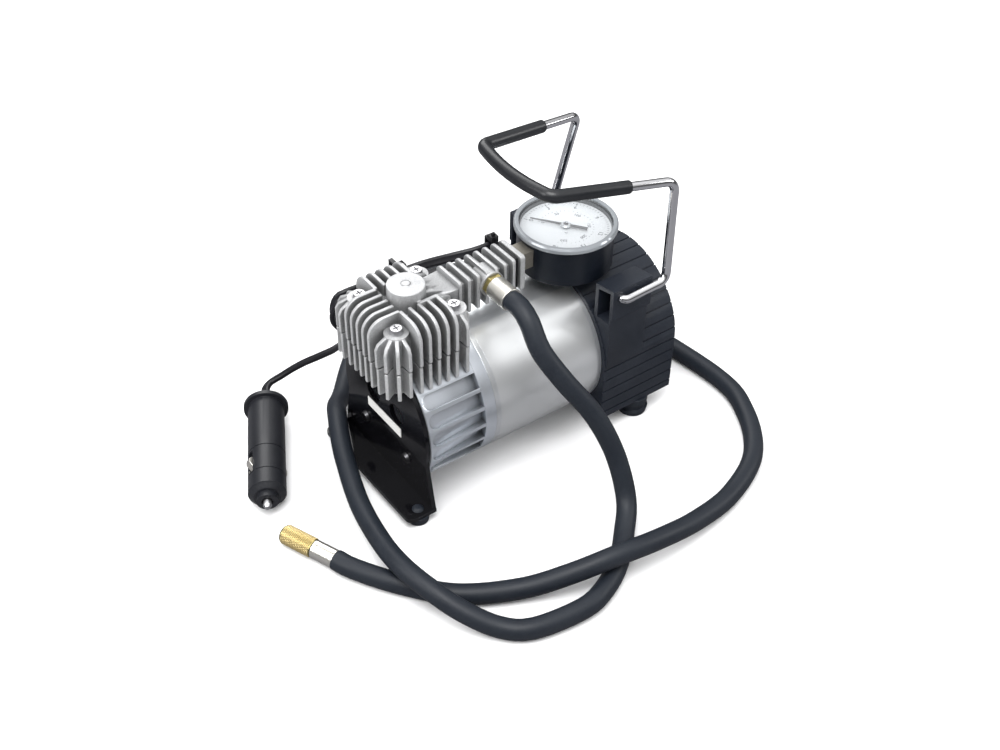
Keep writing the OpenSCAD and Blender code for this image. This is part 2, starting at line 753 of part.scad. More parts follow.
module brush_holder() {
    color("Tan") difference() {
        union() {
            on_axis(comm_x + 1) ring(can_r - can_t - 0.2, 22, 3);
            for (s = [-1, 1]) translate([comm_x + 1, s > 0 ? 12 : -34, axis_z - 4.5])
                cube([10, 22, 9]);
        }
        for (s = [-1, 1])
            translate([comm_x + 3 - fit_gap, s > 0 ? 11 : -30, axis_z - 2.5 - fit_gap])
                cube([6 + 2 * fit_gap, 19, 5 + 2 * fit_gap]);
    }
}

module rear_bell() {
    color("Silver") on_axis(bell_x) difference() {
        union() {
            cylinder(r = can_r - can_t - 0.05, h = 3);
            translate([0, 0, -3]) cylinder(r = 12, h = rear_bearing_l);
        }
        translate([0, 0, -4]) cylinder(r = rear_bearing_r + fit_gap / 2, h = 10);
        for (a = [45 : 90 : 315]) rotate([0, 0, a]) translate([26, 0, -1])
            cylinder(r = 6, h = 6);
    }
}

module cooling_fan() {
    color("DarkSlateGray") on_axis(fan_x) {
        ring(9, shaft_r + fit_gap / 2, fan_l);
        ring(fan_r, fan_r - 1.5, 3);
        for (i = [0 : 8]) rotate([0, 0, i * 40]) translate([8.5, -0.8, 0])
            cube([fan_r - 9.5, 1.6, fan_l]);
    }
}

// ---------------------------------------------------------------- end cap

// The cap's section, seen along X: a round top on straight sides
function cap_outline(inset) = concat(
    [[-cap_half + inset, cap_z + inset], [cap_half - inset, cap_z + inset]],
    arc(0, axis_z, cap_half - inset, 0, 180, 36));

module cap_grooves() {
    for (a = [groove_turn : groove_turn : 180 - groove_turn]) on_axis(x_cap)
        rotate([0, 0, a + 90]) translate([cap_half - groove_depth, -groove_w / 2, -1])
            cube([5, groove_w, cap_l + 2]);
    for (s = [-1, 1], k = [0 : 4])
        translate([x_cap - 1, s > 0 ? cap_half - groove_depth : -cap_half - 4,
            axis_z - k * groove_step - groove_w / 2])
            cube([cap_l + 2, 4 + groove_depth, groove_w]);
}

// Section of an ear on the +Y side: its deck falls inward; t is the wall left outside
module ear_section(t, foot) {
    polygon([[ear_in + t, foot], [ear_in + t, ear_top - deck_fall - t],
        [ear_half - t, ear_top - t], [ear_half - t, foot]]);
}

module ears() {
    for (s = [0, 1]) mirror([0, s, 0]) {
        translate([ear_x, 0, 0]) rotate([90, 0, 90]) linear_extrude(ear_l)
            ear_section(0, ear_z);
        translate([ear_x, ear_in, axis_z + 3])
            cube([ear_l - 1, panel_half - ear_in, ear_z - axis_z - 2]);
    }
}

// The ears are hollow and open towards the motor
module ear_hollows() {
    for (s = [0, 1]) mirror([0, s, 0]) translate([ear_x - 1, 0, 0]) rotate([90, 0, 90])
        linear_extrude(ear_l + 1 - cap_t) ear_section(cap_t, ear_z - 4);
}

module end_cap() {
    color([0.13, 0.13, 0.14]) difference() {
        union() {
            difference() {
                translate([x_cap, 0, 0]) rotate([90, 0, 90]) linear_extrude(cap_l)
                    polygon(cap_outline(0));
                cap_grooves();
            }
            ears();
        }
        ear_hollows();
        translate([can_end, 0, 0]) rotate([90, 0, 90]) linear_extrude(cap_l - cap_lip - cap_t)
            polygon(cap_outline(cap_t));
        on_axis(x_cap - 1) cylinder(r = can_r + 0.1, h = cap_lip + 1.5);
        // pivots of the handle
        translate([pivot_x, 0, pivot_z]) rotate([90, 0, 0])
            translate([0, 0, -100]) cylinder(r = pivot_r + fit_gap, h = 200);
        // vents behind the fan, switch, gland and screws
        for (k = [0 : 4]) translate([x_rear - 4, -22, axis_z + 8 + k * 6])
            cube([8, 44, 2.5]);
        translate([x_rear - 4, -9.6, switch_z - 6.6]) cube([8, 19.2, 13.2]);
        translate([gland_x, 0, gland_z]) rotate([-90, 0, 0]) cylinder(r = 5, h = 100);
        for (s = [-1, 1], z = [cap_z + 8, axis_z + 14])
            along_x(x_rear - cap_t - 5, s * cap_screw_y, z)
                cylinder(r = cap_screw_r + 0.1, h = cap_t + 9);
    }
}

module cap_screws() {
    color("Gainsboro") for (s = [-1, 1], z = [cap_z + 8, axis_z + 14])
        along_x(x_rear - cap_t - 4, s * cap_screw_y, z) {
            cylinder(r = cap_screw_r, h = cap_t + 4);
            translate([0, 0, cap_t + 4])
                cylinder(r1 = 2 * cap_screw_r, r2 = 2.5, h = 1.6);
        }
}

module rear_feet() {
    color([0.12, 0.12, 0.12]) for (s = [-1, 1])
        translate([x_cap + rear_foot_x, s * rear_foot_y, 0]) {
            cylinder(r1 = rear_foot_r - 0.8, r2 = rear_foot_r, h = sole_h);
            cylinder(r = rear_foot_r - 1.5, h = rear_foot_h);
            translate([0, 0, rear_foot_h - sole_h])
                cylinder(r = rear_foot_r - 0.5, h = sole_h);
        }
}

module switch_frame() {
    color([0.08, 0.08, 0.08]) translate([x_rear, 0, switch_z]) difference() {
        union() {
            translate([0, -11, -8]) cube([bezel_t, 22, 16]);
            translate([-14, -9.5, -6.5]) cube([14.5, 19, 13]);
        }
        translate([-10.4, -7.5, -4.5]) cube([20, 15, 9]);
        translate([-rocker_in, 0, -5.8]) cylinder(r = 1.3, h = 11.6);
    }
}

// The rocker rests tipped to its "off" side
module switch_rocker() {
    color("FireBrick") translate([x_rear - rocker_in, 0, switch_z])
        rotate([0, 0, -rocker_tilt]) {
            translate([0, 0, -4.2]) linear_extrude(8.4)
                polygon([[-1.7, -2.5], [3.3, -5.9], [rocker_in + 1.2, -5.9],
                    [rocker_in + 0.3, 0], [rocker_in + 1.2, 5.9], [3.3, 5.9], [-1.7, 2.5]]);
            translate([0, 0, -5.5]) cylinder(r = 1.2, h = 11);
        }
}

// ---------------------------------------------------------------- handle

function mirror_y(p) = [p[0], -p[1], p[2]];
function both_sides(side) = concat([for (p = side) mirror_y(p)],
    [[corner[0] - crossbar_bow, 0, corner[2] - 1]],
    [for (i = [len(side) - 1 : -1 : 0]) side[i]]);

module handle_wire() {
    side = [[pivot_x, cap_half, pivot_z], [pivot_x, leg_y, pivot_z], elbow, shoulder, corner];
    color("Gainsboro") {
        tube(bent_path(both_sides(side), [pivot_bend, handle_bend, handle_bend, handle_bend,
            bow_bend, handle_bend, handle_bend, handle_bend, pivot_bend], 4),
            wire_r, bar_sides);
        for (s = [-1, 1]) translate([pivot_x, s * (cap_half - 2.5), pivot_z])
            rotate([90, 0, 0]) cylinder(r = pivot_r, h = 7, center = true);
    }
}

// The soft grip over the crossbar and the front of both arms
module handle_grip() {
    arm = corner - shoulder;
    start = shoulder + arm * grip_from;
    bends = [handle_bend, bow_bend, handle_bend];
    color([0.1, 0.1, 0.11]) difference() {
        tube(bent_path(both_sides([start, corner]), bends, 4), grip_r, bar_sides);
        tube(bent_path(both_sides([start - arm * 0.05, corner]), bends, 4),
            wire_r + grip_gap, bar_sides);
    }
}

// ---------------------------------------------------------------- gauge

module gauge_stem() {
    color("DarkKhaki") difference() {
        translate([arm_face, -stem_half, stem_z - stem_half])
            cube([gauge_x - case_r + 3 - arm_face, 2 * stem_half, 2 * stem_half]);
        along_x(arm_face - 1, 0, stem_z) cylinder(r = 1.5, h = 30);
    }
}

module gauge_case() {
    color([0.07, 0.07, 0.08]) translate([gauge_x, 0, gauge_z]) difference() {
        cylinder(r = case_r, h = gauge_h - 2.5);
        translate([0, 0, 2]) cylinder(r = case_r - case_t, h = gauge_h);
        translate([-case_r - 1, -stem_half - fit_gap, stem_z - gauge_z - stem_half - fit_gap])
            cube([4, 2 * stem_half + 2 * fit_gap, 2 * stem_half + 2 * fit_gap]);
    }
}

module gauge_bezel() {
    color("Gainsboro") translate([gauge_x, 0, gauge_top]) rotate_extrude()
        polygon([[case_r + fit_gap, -bezel_h], [bezel_r - 0.5, -bezel_h],
            [bezel_r, 0.5 - bezel_h], [bezel_r, -0.9], [bezel_r - 0.8, 0],
            [case_r - bezel_lap, 0], [case_r - bezel_lap, -1], [case_r + fit_gap, -1]]);
}

module gauge_lens() {
    color([0.85, 0.92, 0.95, 0.4]) translate([gauge_x, 0, gauge_top - 2.5])
        cylinder(r = case_r, h = 1.5);
}

module gauge_dial() {
    color("White") translate([gauge_x, 0, 0]) {
        translate([0, 0, dial_z]) difference() {
            cylinder(r = case_r - case_t - 0.2, h = 0.6);
            translate([0, 0, -1]) cylinder(r = 1.2, h = 3);
        }
        // stop pin of the needle, and the legs under the dial
        rotate([0, 0, stop_turn]) translate([5.5, 0, dial_z + 0.6]) cylinder(r = 0.7, h = 0.9);
        for (a = [100, 280]) rotate([0, 0, a]) translate([15, 0, gauge_z + 2])
            cylinder(r = 1.2, h = dial_z - gauge_z - 2);
    }
}

module gauge_needle() {
    color("DarkSlateGray") translate([gauge_x, 0, 0]) {
        translate([0, 0, needle_z]) cylinder(r = 2.2, h = 1.4);
        translate([0, 0, movement_z + 6.5]) cylinder(r = 0.9, h = needle_z + 1 - movement_z - 6.5);
        translate([0, 0, movement_z + 7.8]) cylinder(r = pinion_r, h = 2);
        rotate([0, 0, needle_turn]) translate([0, 0, needle_z + 0.6])
            linear_extrude(0.6) polygon([[-12, -1], [-12, 1], [0, 0.8], [needle_l, 0.2],
                [needle_l, -0.2], [0, -0.8]]);
    }
}

// Toothed sector of the movement, drawn as its smooth pitch surface
module gauge_sector() {
    color("Goldenrod") translate([sector_x, 0, movement_z + 7.8]) difference() {
        union() {
            cylinder(r = 2.5, h = 2);
            rotate([0, 0, 116]) rotate_extrude(angle = 67)
                translate([2, 0]) square([sector_r - 2, 2]);
        }
        translate([0, 0, -1]) cylinder(r = 1 + fit_gap, h = 5);
    }
}

// Base plate of the movement, with the bearings of needle and sector
module gauge_movement() {
    color("Goldenrod") translate([0, 0, movement_z]) {
        translate([gauge_x - 4, -4, 0]) cube([22, 8, 1.2]);
        translate([gauge_x, 0, 0]) ring(2, 0.9 + fit_gap, 7.4);
        translate([sector_x, 0, 0]) cylinder(r = 2, h = 7.4);
        translate([sector_x, 0, 0]) cylinder(r = 1, h = 10.4);
    }
}

// Socket on the stem with the curved tube that opens under pressure
module bourdon_tube() {
    color("DarkGoldenrod") translate([gauge_x, 0, gauge_z + 6.5]) {
        rotate([0, 0, 176]) rotate_extrude(angle = 270) translate([20, 0]) circle(r = 1.9);
        translate([3 - case_r, -4, -4.4]) cube([5.5, 8, 8.2]);
    }
}

// ---------------------------------------------------------------- hose

module outlet_fitting() {
    color("Goldenrod") translate([port_x, -arm_half - 1.2, port_z]) rotate([90, 0, 0])
        difference() {
            union() {
                translate([0, 0, -6]) cylinder(r = 3.5, h = 6);
                cylinder(r = 6.6, h = 2.8, $fn = 6);
                cylinder(r = 3.6, h = 14);
            }
            translate([0, 0, -7]) cylinder(r = 2, h = 22);
        }
}

module hose_ferrule_in() {
    color("Gainsboro") translate([port_x, inlet_y, port_z]) rotate([90, 0, 0])
        ring(ferrule_r, 3.7, inlet_y - inlet_end);
}

module air_hose() {
    echo(air_hose_length = path_length(hose_route), rings = len(hose_route));
    color([0.12, 0.12, 0.13]) tube(hose_route, hose_r, hose_sides);
}

module at_hose_end(along) {
    translate(hose_end) rotate([0, 90, end_turn]) translate([0, 0, along]) children();
}

module hose_ferrule_out() {
    color("Gainsboro") at_hose_end(0) {
        cylinder(r = hose_r - 0.4, h = out_ferrule_l);
        translate([0, 0, out_ferrule_l]) cylinder(r = 2.6, h = 6);
        translate([0, 0, out_ferrule_l + 6]) cylinder(r = 3.6, h = 2);
        // raised seam of the crimp
        translate([-hose_r - 0.3, -1, 0]) cube([1.5, 2, out_ferrule_l - 1]);
    }
}

module hose_chuck() {
    color("Goldenrod") at_hose_end(out_ferrule_l + 0.4) difference() {
        union() {
            cylinder(r = chuck_r, h = chuck_l - chuck_round);
            translate([0, 0, chuck_l - chuck_round])
                cylinder(r1 = chuck_r, r2 = chuck_r - chuck_round + 0.2, h = chuck_round);
        }
        translate([0, 0, -1]) cylinder(r = 2.6 + run_gap, h = 6);
        translate([0, 0, 3.2]) cylinder(r = 4.2, h = 5.2);
        translate([0, 0, 8]) cylinder(r = valve_r, h = chuck_l);
    }
}

// ---------------------------------------------------------------- lead

// One closed strap round a bundle, with its head and its upright tail
module cable_tie(x, y0, y1, z0, z1, head_y, tail) {
    translate([x - tie_w / 2, 0, 0]) {
        difference() {
            translate([0, y0, z0]) cube([tie_w, y1 - y0, z1 - z0]);
            translate([-1, y0 + tie_t, z0 + tie_t])
                cube([tie_w + 2, y1 - y0 - 2 * tie_t, z1 - z0 - 2 * tie_t]);
        }
        translate([-tie_lip, head_y - 1.8, z1 - 0.2]) cube([tie_w + 2 * tie_lip, 4.6, 3.4]);
        translate([0.2, head_y, z1 + 2]) rotate([12, 0, 0]) cube([tie_w - 0.4, tie_t, tail]);
    }
}

module zip_ties() {
    color([0.15, 0.15, 0.15]) {
        cable_tie(tie_a_x, -arm_core - 1.5, 18.6, arm_z + 0.5, head_top - 1.2, 12, 2.6);
        cable_tie(tie_b_x, tie_b_near, tie_b_far, head_z + 0.4, head_z + 16, 26.6, 2.6);
    }
}

module lead_gland() {
    color([0.1, 0.1, 0.1]) translate([gland_x, cap_half, gland_z]) rotate([-90, 0, 0])
        difference() {
            union() {
                cylinder(r1 = 6, r2 = lead_r + 1.2, h = gland_l);
                translate([0, 0, -cap_t - 2]) cylinder(r = 4.95, h = cap_t + 2);
            }
            translate([0, 0, gland_l - 3]) cylinder(r = lead_r + 0.6, h = 5);
        }
}

// Reach of a turn from the coil's middle, and its height, where t is in turns
function zigzag(t) = abs(1 - (t / layer_turns) % 2);
function coil_reach(t) = coil_in + coil_pitch * layer_turns * zigzag(t);
function layer_climb(t) = let (k = min(coil_layers - 1, max(1, round(t / layer_turns))))
    k - 1 + min(1, max(0, 2 * (t - k * layer_turns) + 0.5));
function coil_point(t) = let (a = 360 * (t + coil_start), r = coil_reach(t))
    [coil_x + r * cos(a), coil_y + r * sin(a), lz + coil_pitch * layer_climb(t)];
coil_first = coil_point(0) + [lead_d, 0, 0];
coil_last = coil_point(coil_turns) - [0, lead_d, 0];
function coil_path() = concat([coil_first],
    [for (i = [0 : coil_turns * coil_steps]) coil_point(i / coil_steps)], [coil_last]);

module lead_coil() {
    path = coil_path();
    n = len(path);
    least = min([for (i = [0 : n - 1], j = [i + 12 : n - 1])
        if (j < n) norm(path[i] - path[j])]) - lead_d;
    echo(lead_coil_length = path_length(path), least_gap = least);
    color([0.12, 0.12, 0.13]) tube(path, lead_r, coil_sides);
}

module lead_entry() {
    route = concat(entry_route, [coil_first + [lead_d, 0, 0], coil_first]);
    echo(lead_entry_length = path_length(route), rings = len(route));
    color([0.12, 0.12, 0.13]) tube(route, lead_r, lead_sides);
}

module lead_run() {
    route = concat([coil_last, coil_last - [0, lead_d, 0]], run_middle, run_last,
        [plug_entry - plug_dir * lead_d, plug_entry]);
    echo(lead_run_length = path_length(route), rings = len(route));
    color([0.12, 0.12, 0.13]) tube(route, lead_r, lead_sides, [1, 0, 0]);
}

// ---------------------------------------------------------------- plug

module at_plug(along) {
    translate(plug_at) rotate([0, 90 + plug_tilt, plug_turn]) translate([0, 0, along])
        children();
}

module plug_body() {
    color([0.06, 0.06, 0.07]) at_plug(0) difference() {
        union() {
            cylinder(r = flange_r, h = flange_t);
            cylinder(r = plug_r, h = plug_l);
            translate([0, 0, plug_l])
                cylinder(r1 = plug_r - 0.3, r2 = plug_r - 3, h = plug_end);
            translate([0, 0, plug_l]) cylinder(r = 5.8, h = 6);
            translate([0, 0, -plug_stub]) cylinder(r1 = lead_r + 1, r2 = 6, h = plug_stub);
        }
        for (s = [seam_1, seam_2]) translate([0, 0, s])
            ring(plug_r + 1, plug_r - 0.4, 0.6);
        translate([0, 0, flange_t + 4]) cylinder(r = plug_r - 2, h = plug_l - flange_t - 9);
        translate([0, 0, plug_l - 8]) cylinder(r = 3.1, h = 15);
        for (s = [-1, 1]) rotate([0, 0, -plug_roll])
            translate([-2.2, s > 0 ? plug_r - 4 : -plug_r - 1, contact_s - 1])
                cube([4.4, 5, contact_l + 2]);
    }
}

module plug_tip() {
    color("Gainsboro") at_plug(plug_l) {
        translate([0, 0, -6.7]) cylinder(r = 3, h = 10.7);
        translate([0, 0, 4]) cylinder(r = 2.4, h = 4.5);
        translate([0, 0, 8.5]) cylinder(r1 = 2.4, r2 = 1.2, h = 2);
        translate([0, 0, -6.7]) cylinder(r = 4.6, h = 1.5);
    }
}

// One sprung side contact, out of the barrel's left (1) or right (-1) slot
module plug_contact(s) {
    color("Gainsboro") at_plug(contact_s) rotate([0, 0, (s > 0 ? 0 : 180) - plug_roll])
        rotate([90, 0, 90]) translate([0, 0, -1.9]) linear_extrude(3.8)
            polygon([[plug_r - 3.4, 0.2], [plug_r + 1.3, contact_l / 2 - 1.5],
                [plug_r + 1.3, contact_l / 2 + 1.5], [plug_r - 3.4, contact_l - 0.2]]);
}

module plug_contact_left() {
    plug_contact(1);
}

module plug_contact_right() {
    plug_contact(-1);
}

// ---------------------------------------------------------------- one line per node

cylinder_head();
head_screws();
head_gasket();
valve_plate();
reed_valves();
cylinder_block();
cylinder_liner();
piston();
piston_ring();
wrist_pin();
connecting_rod();
crank_pin();
crank_web();
motor_bearings();
pump_housing();
front_bracket();
bracket_screws();
front_feet();
blank_plate();
clamp_ring();
motor_can();
magnets();
armature_core();
armature_windings();
commutator();
motor_shaft();
brushes();
brush_holder();
rear_bell();
cooling_fan();
end_cap();
cap_screws();
rear_feet();
switch_frame();
switch_rocker();
handle_wire();
handle_grip();
gauge_stem();
gauge_case();
gauge_bezel();
gauge_lens();
gauge_dial();
gauge_needle();
gauge_sector();
gauge_movement();
bourdon_tube();
outlet_fitting();
hose_ferrule_in();
air_hose();
hose_ferrule_out();
hose_chuck();
zip_ties();
lead_gland();
lead_entry();
lead_coil();
lead_run();
plug_body();
plug_tip();
plug_contact_left();
plug_contact_right();
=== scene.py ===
"""Dresses the portable tyre inflator: camera, cords, pump, motor, gauge, handle and plug."""

import json
import logging
import math
from collections.abc import Callable
from dataclasses import dataclass, field
from enum import Enum

import bmesh
import bpy
from mathutils import Matrix, Vector

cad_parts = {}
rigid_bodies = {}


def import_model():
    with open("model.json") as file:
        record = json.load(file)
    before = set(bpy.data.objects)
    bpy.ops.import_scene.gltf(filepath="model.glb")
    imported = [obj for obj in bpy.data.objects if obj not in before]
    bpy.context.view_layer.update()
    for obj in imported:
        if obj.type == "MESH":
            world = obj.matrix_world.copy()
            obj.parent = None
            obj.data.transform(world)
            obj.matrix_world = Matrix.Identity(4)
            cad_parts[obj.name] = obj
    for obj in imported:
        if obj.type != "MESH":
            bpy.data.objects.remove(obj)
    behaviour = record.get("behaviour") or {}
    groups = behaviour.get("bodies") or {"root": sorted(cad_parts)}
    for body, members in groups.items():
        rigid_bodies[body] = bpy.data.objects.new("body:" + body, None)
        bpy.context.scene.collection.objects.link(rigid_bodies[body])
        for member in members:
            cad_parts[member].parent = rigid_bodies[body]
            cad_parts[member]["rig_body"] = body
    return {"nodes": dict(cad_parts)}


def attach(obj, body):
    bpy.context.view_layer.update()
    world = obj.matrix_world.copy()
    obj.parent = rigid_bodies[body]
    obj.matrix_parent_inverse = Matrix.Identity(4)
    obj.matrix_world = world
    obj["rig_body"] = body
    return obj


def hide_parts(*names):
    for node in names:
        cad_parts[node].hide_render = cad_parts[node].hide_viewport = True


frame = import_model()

LOG = logging.getLogger("inflator")
Colour = tuple[float, float, float]
Point = tuple[float, float, float]

MM = 0.001            # metres in a millimetre
MERGE_CAD = 2e-6      # points of a CAD mesh closer than this are one, in metres
MERGE_MADE = 1e-7     # the same in a mesh made here
FLAT_DEG = 0.6        # faces bent less than this are one plane
BREAK_DEG = 38.0      # edges bent more than this are broken
SMOOTH_DEG = 35.0     # edges bent more than this are shaded sharp
SHADE_TONE = 0.12      # painted shade in the corners, as a share of the finish's own tone
SHADE_REACH = 0.009    # how far a corner keeps its painted shade, in metres
SHADE_FROM = 0.25      # openness at which the painted shade is full
SHADE_TO = 0.85        # openness at which it is gone
BUMP_DEPTH = 0.0005   # full depth of a skin's relief, in metres

# Places along the machine, in millimetres, as in the part's source
AXIS_Z = 47.5                     # height of the motor's axis
CAN_R = 41.0                      # motor can's radius
X_CAN = -32.6                     # where the can starts
X_CAP = 38.2                      # where the end cap starts
CAP_HALF = 44.2                   # end cap's half width
PIVOT = (44.2, 97.5)              # handle's pivot, X and Z
GAUGE_X = 41.79                   # needle's axis
DIAL_TOP = 117.6                  # dial's face
NEEDLE_TOP = 119.6                # needle's upper face
HEAD_X = -60.4                    # middle of the cylinder head
SCREW_OFF = 17.3                  # its screws, from its middle
PORT = (-15.0, 111.0)             # outlet port, X and Z
PLUG_AT = Vector((-111.6, 74.6, 12.6))        # plug's rear end
PLUG_TURN = math.radians(-118.2)              # its heading over the floor
PLUG_TILT = math.asin(2.3 / 65.0)             # how far its nose dips
HOSE_END = Vector((-135.4, -42.6, 5.5))       # hose's end at the connector
HOSE_TURN = math.radians(112.0)               # connector's heading


class Edge(Enum):
    """How far an edge is broken, in millimetres."""

    CRISP = 0.0
    FINE = 0.12
    BROKEN = 0.25
    SOFT = 0.4
    ROUND = 0.55


class FarEnd(Enum):
    """What hangs on a cord's free end."""

    PLUG = "plug"
    CONNECTOR = "connector"


def mm(*values: float) -> Vector:
    """A point given in millimetres, in metres.

    Args:
        values: X, Y and Z in millimetres.

    Returns:
        The same point in metres.
    """
    return Vector(values) * MM


# ------------------------------------------------------------------ shader groups


def add_node(tree, kind: str, links: dict[str | int, object] | None = None, **settings: object):
    """Adds a node to a tree.

    Args:
        tree: The node tree.
        kind: The node's type; "ShaderNode" stands before a short one.
        links: Input name or number to a value or to the socket that feeds it.
        settings: The node's own properties.

    Returns:
        The new node.
    """
    full = kind if "Node" in kind else f"ShaderNode{kind}"
    made = tree.nodes.new(full)
    for name, value in settings.items():
        setattr(made, name, value)
    for name, value in (links or {}).items():
        if isinstance(value, bpy.types.NodeSocket):
            tree.links.new(value, made.inputs[name])
        else:
            made.inputs[name].default_value = value
    return made


class TreeMaker:
    """Builds one node group out of named sockets and nodes."""

    def __init__(self, name: str, kind: str = "ShaderNodeTree") -> None:
        """Starts an empty group with its input and output nodes."""
        self.tree = bpy.data.node_groups.new(name, kind)
        self.start = self.tree.nodes.new("NodeGroupInput")
        self.end = self.tree.nodes.new("NodeGroupOutput")

    def socket(self, name: str, kind: str, default: object = None, out: bool = False) -> None:
        """Adds a socket to the group's interface.

        Args:
            name: The socket's name.
            kind: "Float", "Color", "Vector", "Int", "Geometry" or "Material".
            default: Its value where nothing is linked.
            out: Whether it is an output.
        """
        made = self.tree.interface.new_socket(
            name=name, in_out="OUTPUT" if out else "INPUT", socket_type=f"NodeSocket{kind}"
        )
        if default is not None:
            made.default_value = default

    def node(self, kind: str, links: dict[str | int, object] | None = None, **settings: object):
        """Adds a node to the group, as add_node does."""
        return add_node(self.tree, kind, links, **settings)

    def math(self, operation: str, a: object, b: object = 0.0):
        """The result of a sum of two values or sockets.

        Args:
            operation: The sum, as the Math node names it.
            a: Its first value.
            b: Its second value.

        Returns:
            The socket that holds the result.
        """
        return self.node("Math", {0: a, 1: b}, operation=operation).outputs[0]

    def given(self, name: str):
        """The group's input socket of that name, inside the group."""
        return self.start.outputs[name]

    def put(self, name: str, socket: object) -> None:
        """Links a socket to one of the group's outputs."""
        self.tree.links.new(socket, self.end.inputs[name])


def make_tone_group() -> bpy.types.NodeTree:
    """A colour that drifts between two tones in soft patches, with fine specks.

    Returns:
        The group: Base, Other, Patch size, Speck size, Patches, Specks to Color, Mask.
    """
    g = TreeMaker("tone drift")
    g.socket("Base", "Color", (0.5, 0.5, 0.5, 1))
    g.socket("Other", "Color", (0.4, 0.4, 0.4, 1))
    for name, value in (
        ("Patch size", 60.0), ("Speck size", 900.0), ("Patches", 0.5), ("Specks", 0.3),
    ):
        g.socket(name, "Float", value)
    g.socket("Color", "Color", out=True)
    g.socket("Mask", "Float", out=True)
    place = g.node("TexCoord").outputs["Object"]
    patch = g.node("TexNoise", {"Vector": place, "Scale": g.given("Patch size"), "Detail": 3.0})
    speck = g.node("TexNoise", {"Vector": place, "Scale": g.given("Speck size"), "Detail": 2.0})
    wide = g.node("MapRange", {"Value": patch.outputs["Fac"], "From Min": 0.35, "From Max": 0.65})
    fine = g.node("MapRange", {"Value": speck.outputs["Fac"], "From Min": 0.4, "From Max": 0.7})
    a = g.math("MULTIPLY", wide.outputs["Result"], g.given("Patches"))
    b = g.math("MULTIPLY", fine.outputs["Result"], g.given("Specks"))
    both = g.node("Math", {0: a, 1: b}, operation="ADD", use_clamp=True).outputs[0]
    blend = g.node("MixRGB", {"Fac": both, "Color1": g.given("Base"), "Color2": g.given("Other")})
    g.put("Color", blend.outputs[0])
    g.put("Mask", both)
    return g.tree


def make_relief_group() -> bpy.types.NodeTree:
    """Height of a cast, moulded or brushed skin, from two sizes of noise.

    Returns:
        The group: Stretch, Coarse size, Fine size, Coarse, Fine to Height.
    """
    g = TreeMaker("skin relief")
    g.socket("Stretch", "Vector", (1.0, 1.0, 1.0))
    for name, value in (
        ("Coarse size", 300.0), ("Fine size", 1800.0), ("Coarse", 0.5), ("Fine", 0.5),
    ):
        g.socket(name, "Float", value)
    g.socket("Height", "Float", out=True)
    place = g.node("TexCoord").outputs["Object"]
    spread = g.node("VectorMath", {0: place, 1: g.given("Stretch")}, operation="MULTIPLY")
    heights = []
    for size, share, detail in (("Coarse size", "Coarse", 2.0), ("Fine size", "Fine", 3.0)):
        noise = g.node("TexNoise", {
            "Vector": spread.outputs[0], "Scale": g.given(size), "Detail": detail})
        heights.append(g.math("MULTIPLY", noise.outputs["Fac"], g.given(share)))
    g.put("Height", g.math("ADD", *heights))
    return g.tree


TONE_GROUP = make_tone_group()
RELIEF_GROUP = make_relief_group()


@dataclass(frozen=True)
class Finish:
    """A surface finish, turned into a material by its make method."""

    name: str
    base: Colour
    other: Colour
    metallic: float = 0.0
    rough: tuple[float, float] = (0.4, 0.5)
    patches: float = 0.5
    specks: float = 0.3
    patch_size: float = 60.0
    speck_size: float = 900.0
    relief: float = 0.1
    stretch: Point = (1.0, 1.0, 1.0)
    coarse_size: float = 300.0
    fine_size: float = 1800.0
    coat: float = 0.0
    coat_rough: float = 0.1
    specular: float = 0.5
    alpha: float = 1.0
    # share of painted shade at full occlusion, darkening corners, creases and gaps
    grime: float = 0.0

    def make(self) -> bpy.types.Material:
        """Builds the finish's material.

        Returns:
            The material, made once for each finish.
        """
        known = bpy.data.materials.get(self.name)
        if known:
            return known
        made = bpy.data.materials.new(self.name)
        made.use_nodes = True
        tree = made.node_tree
        shader = tree.nodes["Principled BSDF"]
        for socket, value in (
            ("Metallic", self.metallic), ("Coat Weight", self.coat),
            ("Coat Roughness", self.coat_rough), ("Specular IOR Level", self.specular),
            ("Alpha", self.alpha),
        ):
            shader.inputs[socket].default_value = value
        tone = tree.nodes.new("ShaderNodeGroup")
        tone.node_tree = TONE_GROUP
        for key, value in (
            ("Base", (*self.base, 1.0)), ("Other", (*self.other, 1.0)),
            ("Patch size", self.patch_size), ("Speck size", self.speck_size),
            ("Patches", self.patches), ("Specks", self.specks),
        ):
            tone.inputs[key].default_value = value
        colour = tone.outputs["Color"]
        if self.grime:
            # painted shade: ambient occlusion darkens the colour in corners, creases and gaps
            # between fins
            open_air = add_node(tree, "AmbientOcclusion", {"Distance": SHADE_REACH}, samples=6)
            share = add_node(tree, "MapRange", {
                "Value": open_air.outputs["AO"], "From Min": SHADE_FROM, "From Max": SHADE_TO,
                "To Min": self.grime, "To Max": 0.0})
            shade_colour = (*(part * SHADE_TONE for part in self.base), 1.0)
            colour = add_node(tree, "MixRGB", {
                "Fac": share.outputs["Result"], "Color1": colour, "Color2": shade_colour}).outputs[0]
        tree.links.new(colour, shader.inputs["Base Color"])
        rough = add_node(tree, "MapRange", {
            "Value": tone.outputs["Mask"], "To Min": self.rough[0], "To Max": self.rough[1]})
        tree.links.new(rough.outputs["Result"], shader.inputs["Roughness"])
        skin = tree.nodes.new("ShaderNodeGroup")
        skin.node_tree = RELIEF_GROUP
        for key, value in (
            ("Stretch", self.stretch), ("Coarse size", self.coarse_size),
            ("Fine size", self.fine_size),
        ):
            skin.inputs[key].default_value = value
        bump = add_node(tree, "Bump", {
            "Height": skin.outputs["Height"], "Strength": self.relief, "Distance": BUMP_DEPTH})
        tree.links.new(bump.outputs["Normal"], shader.inputs["Normal"])
        return made
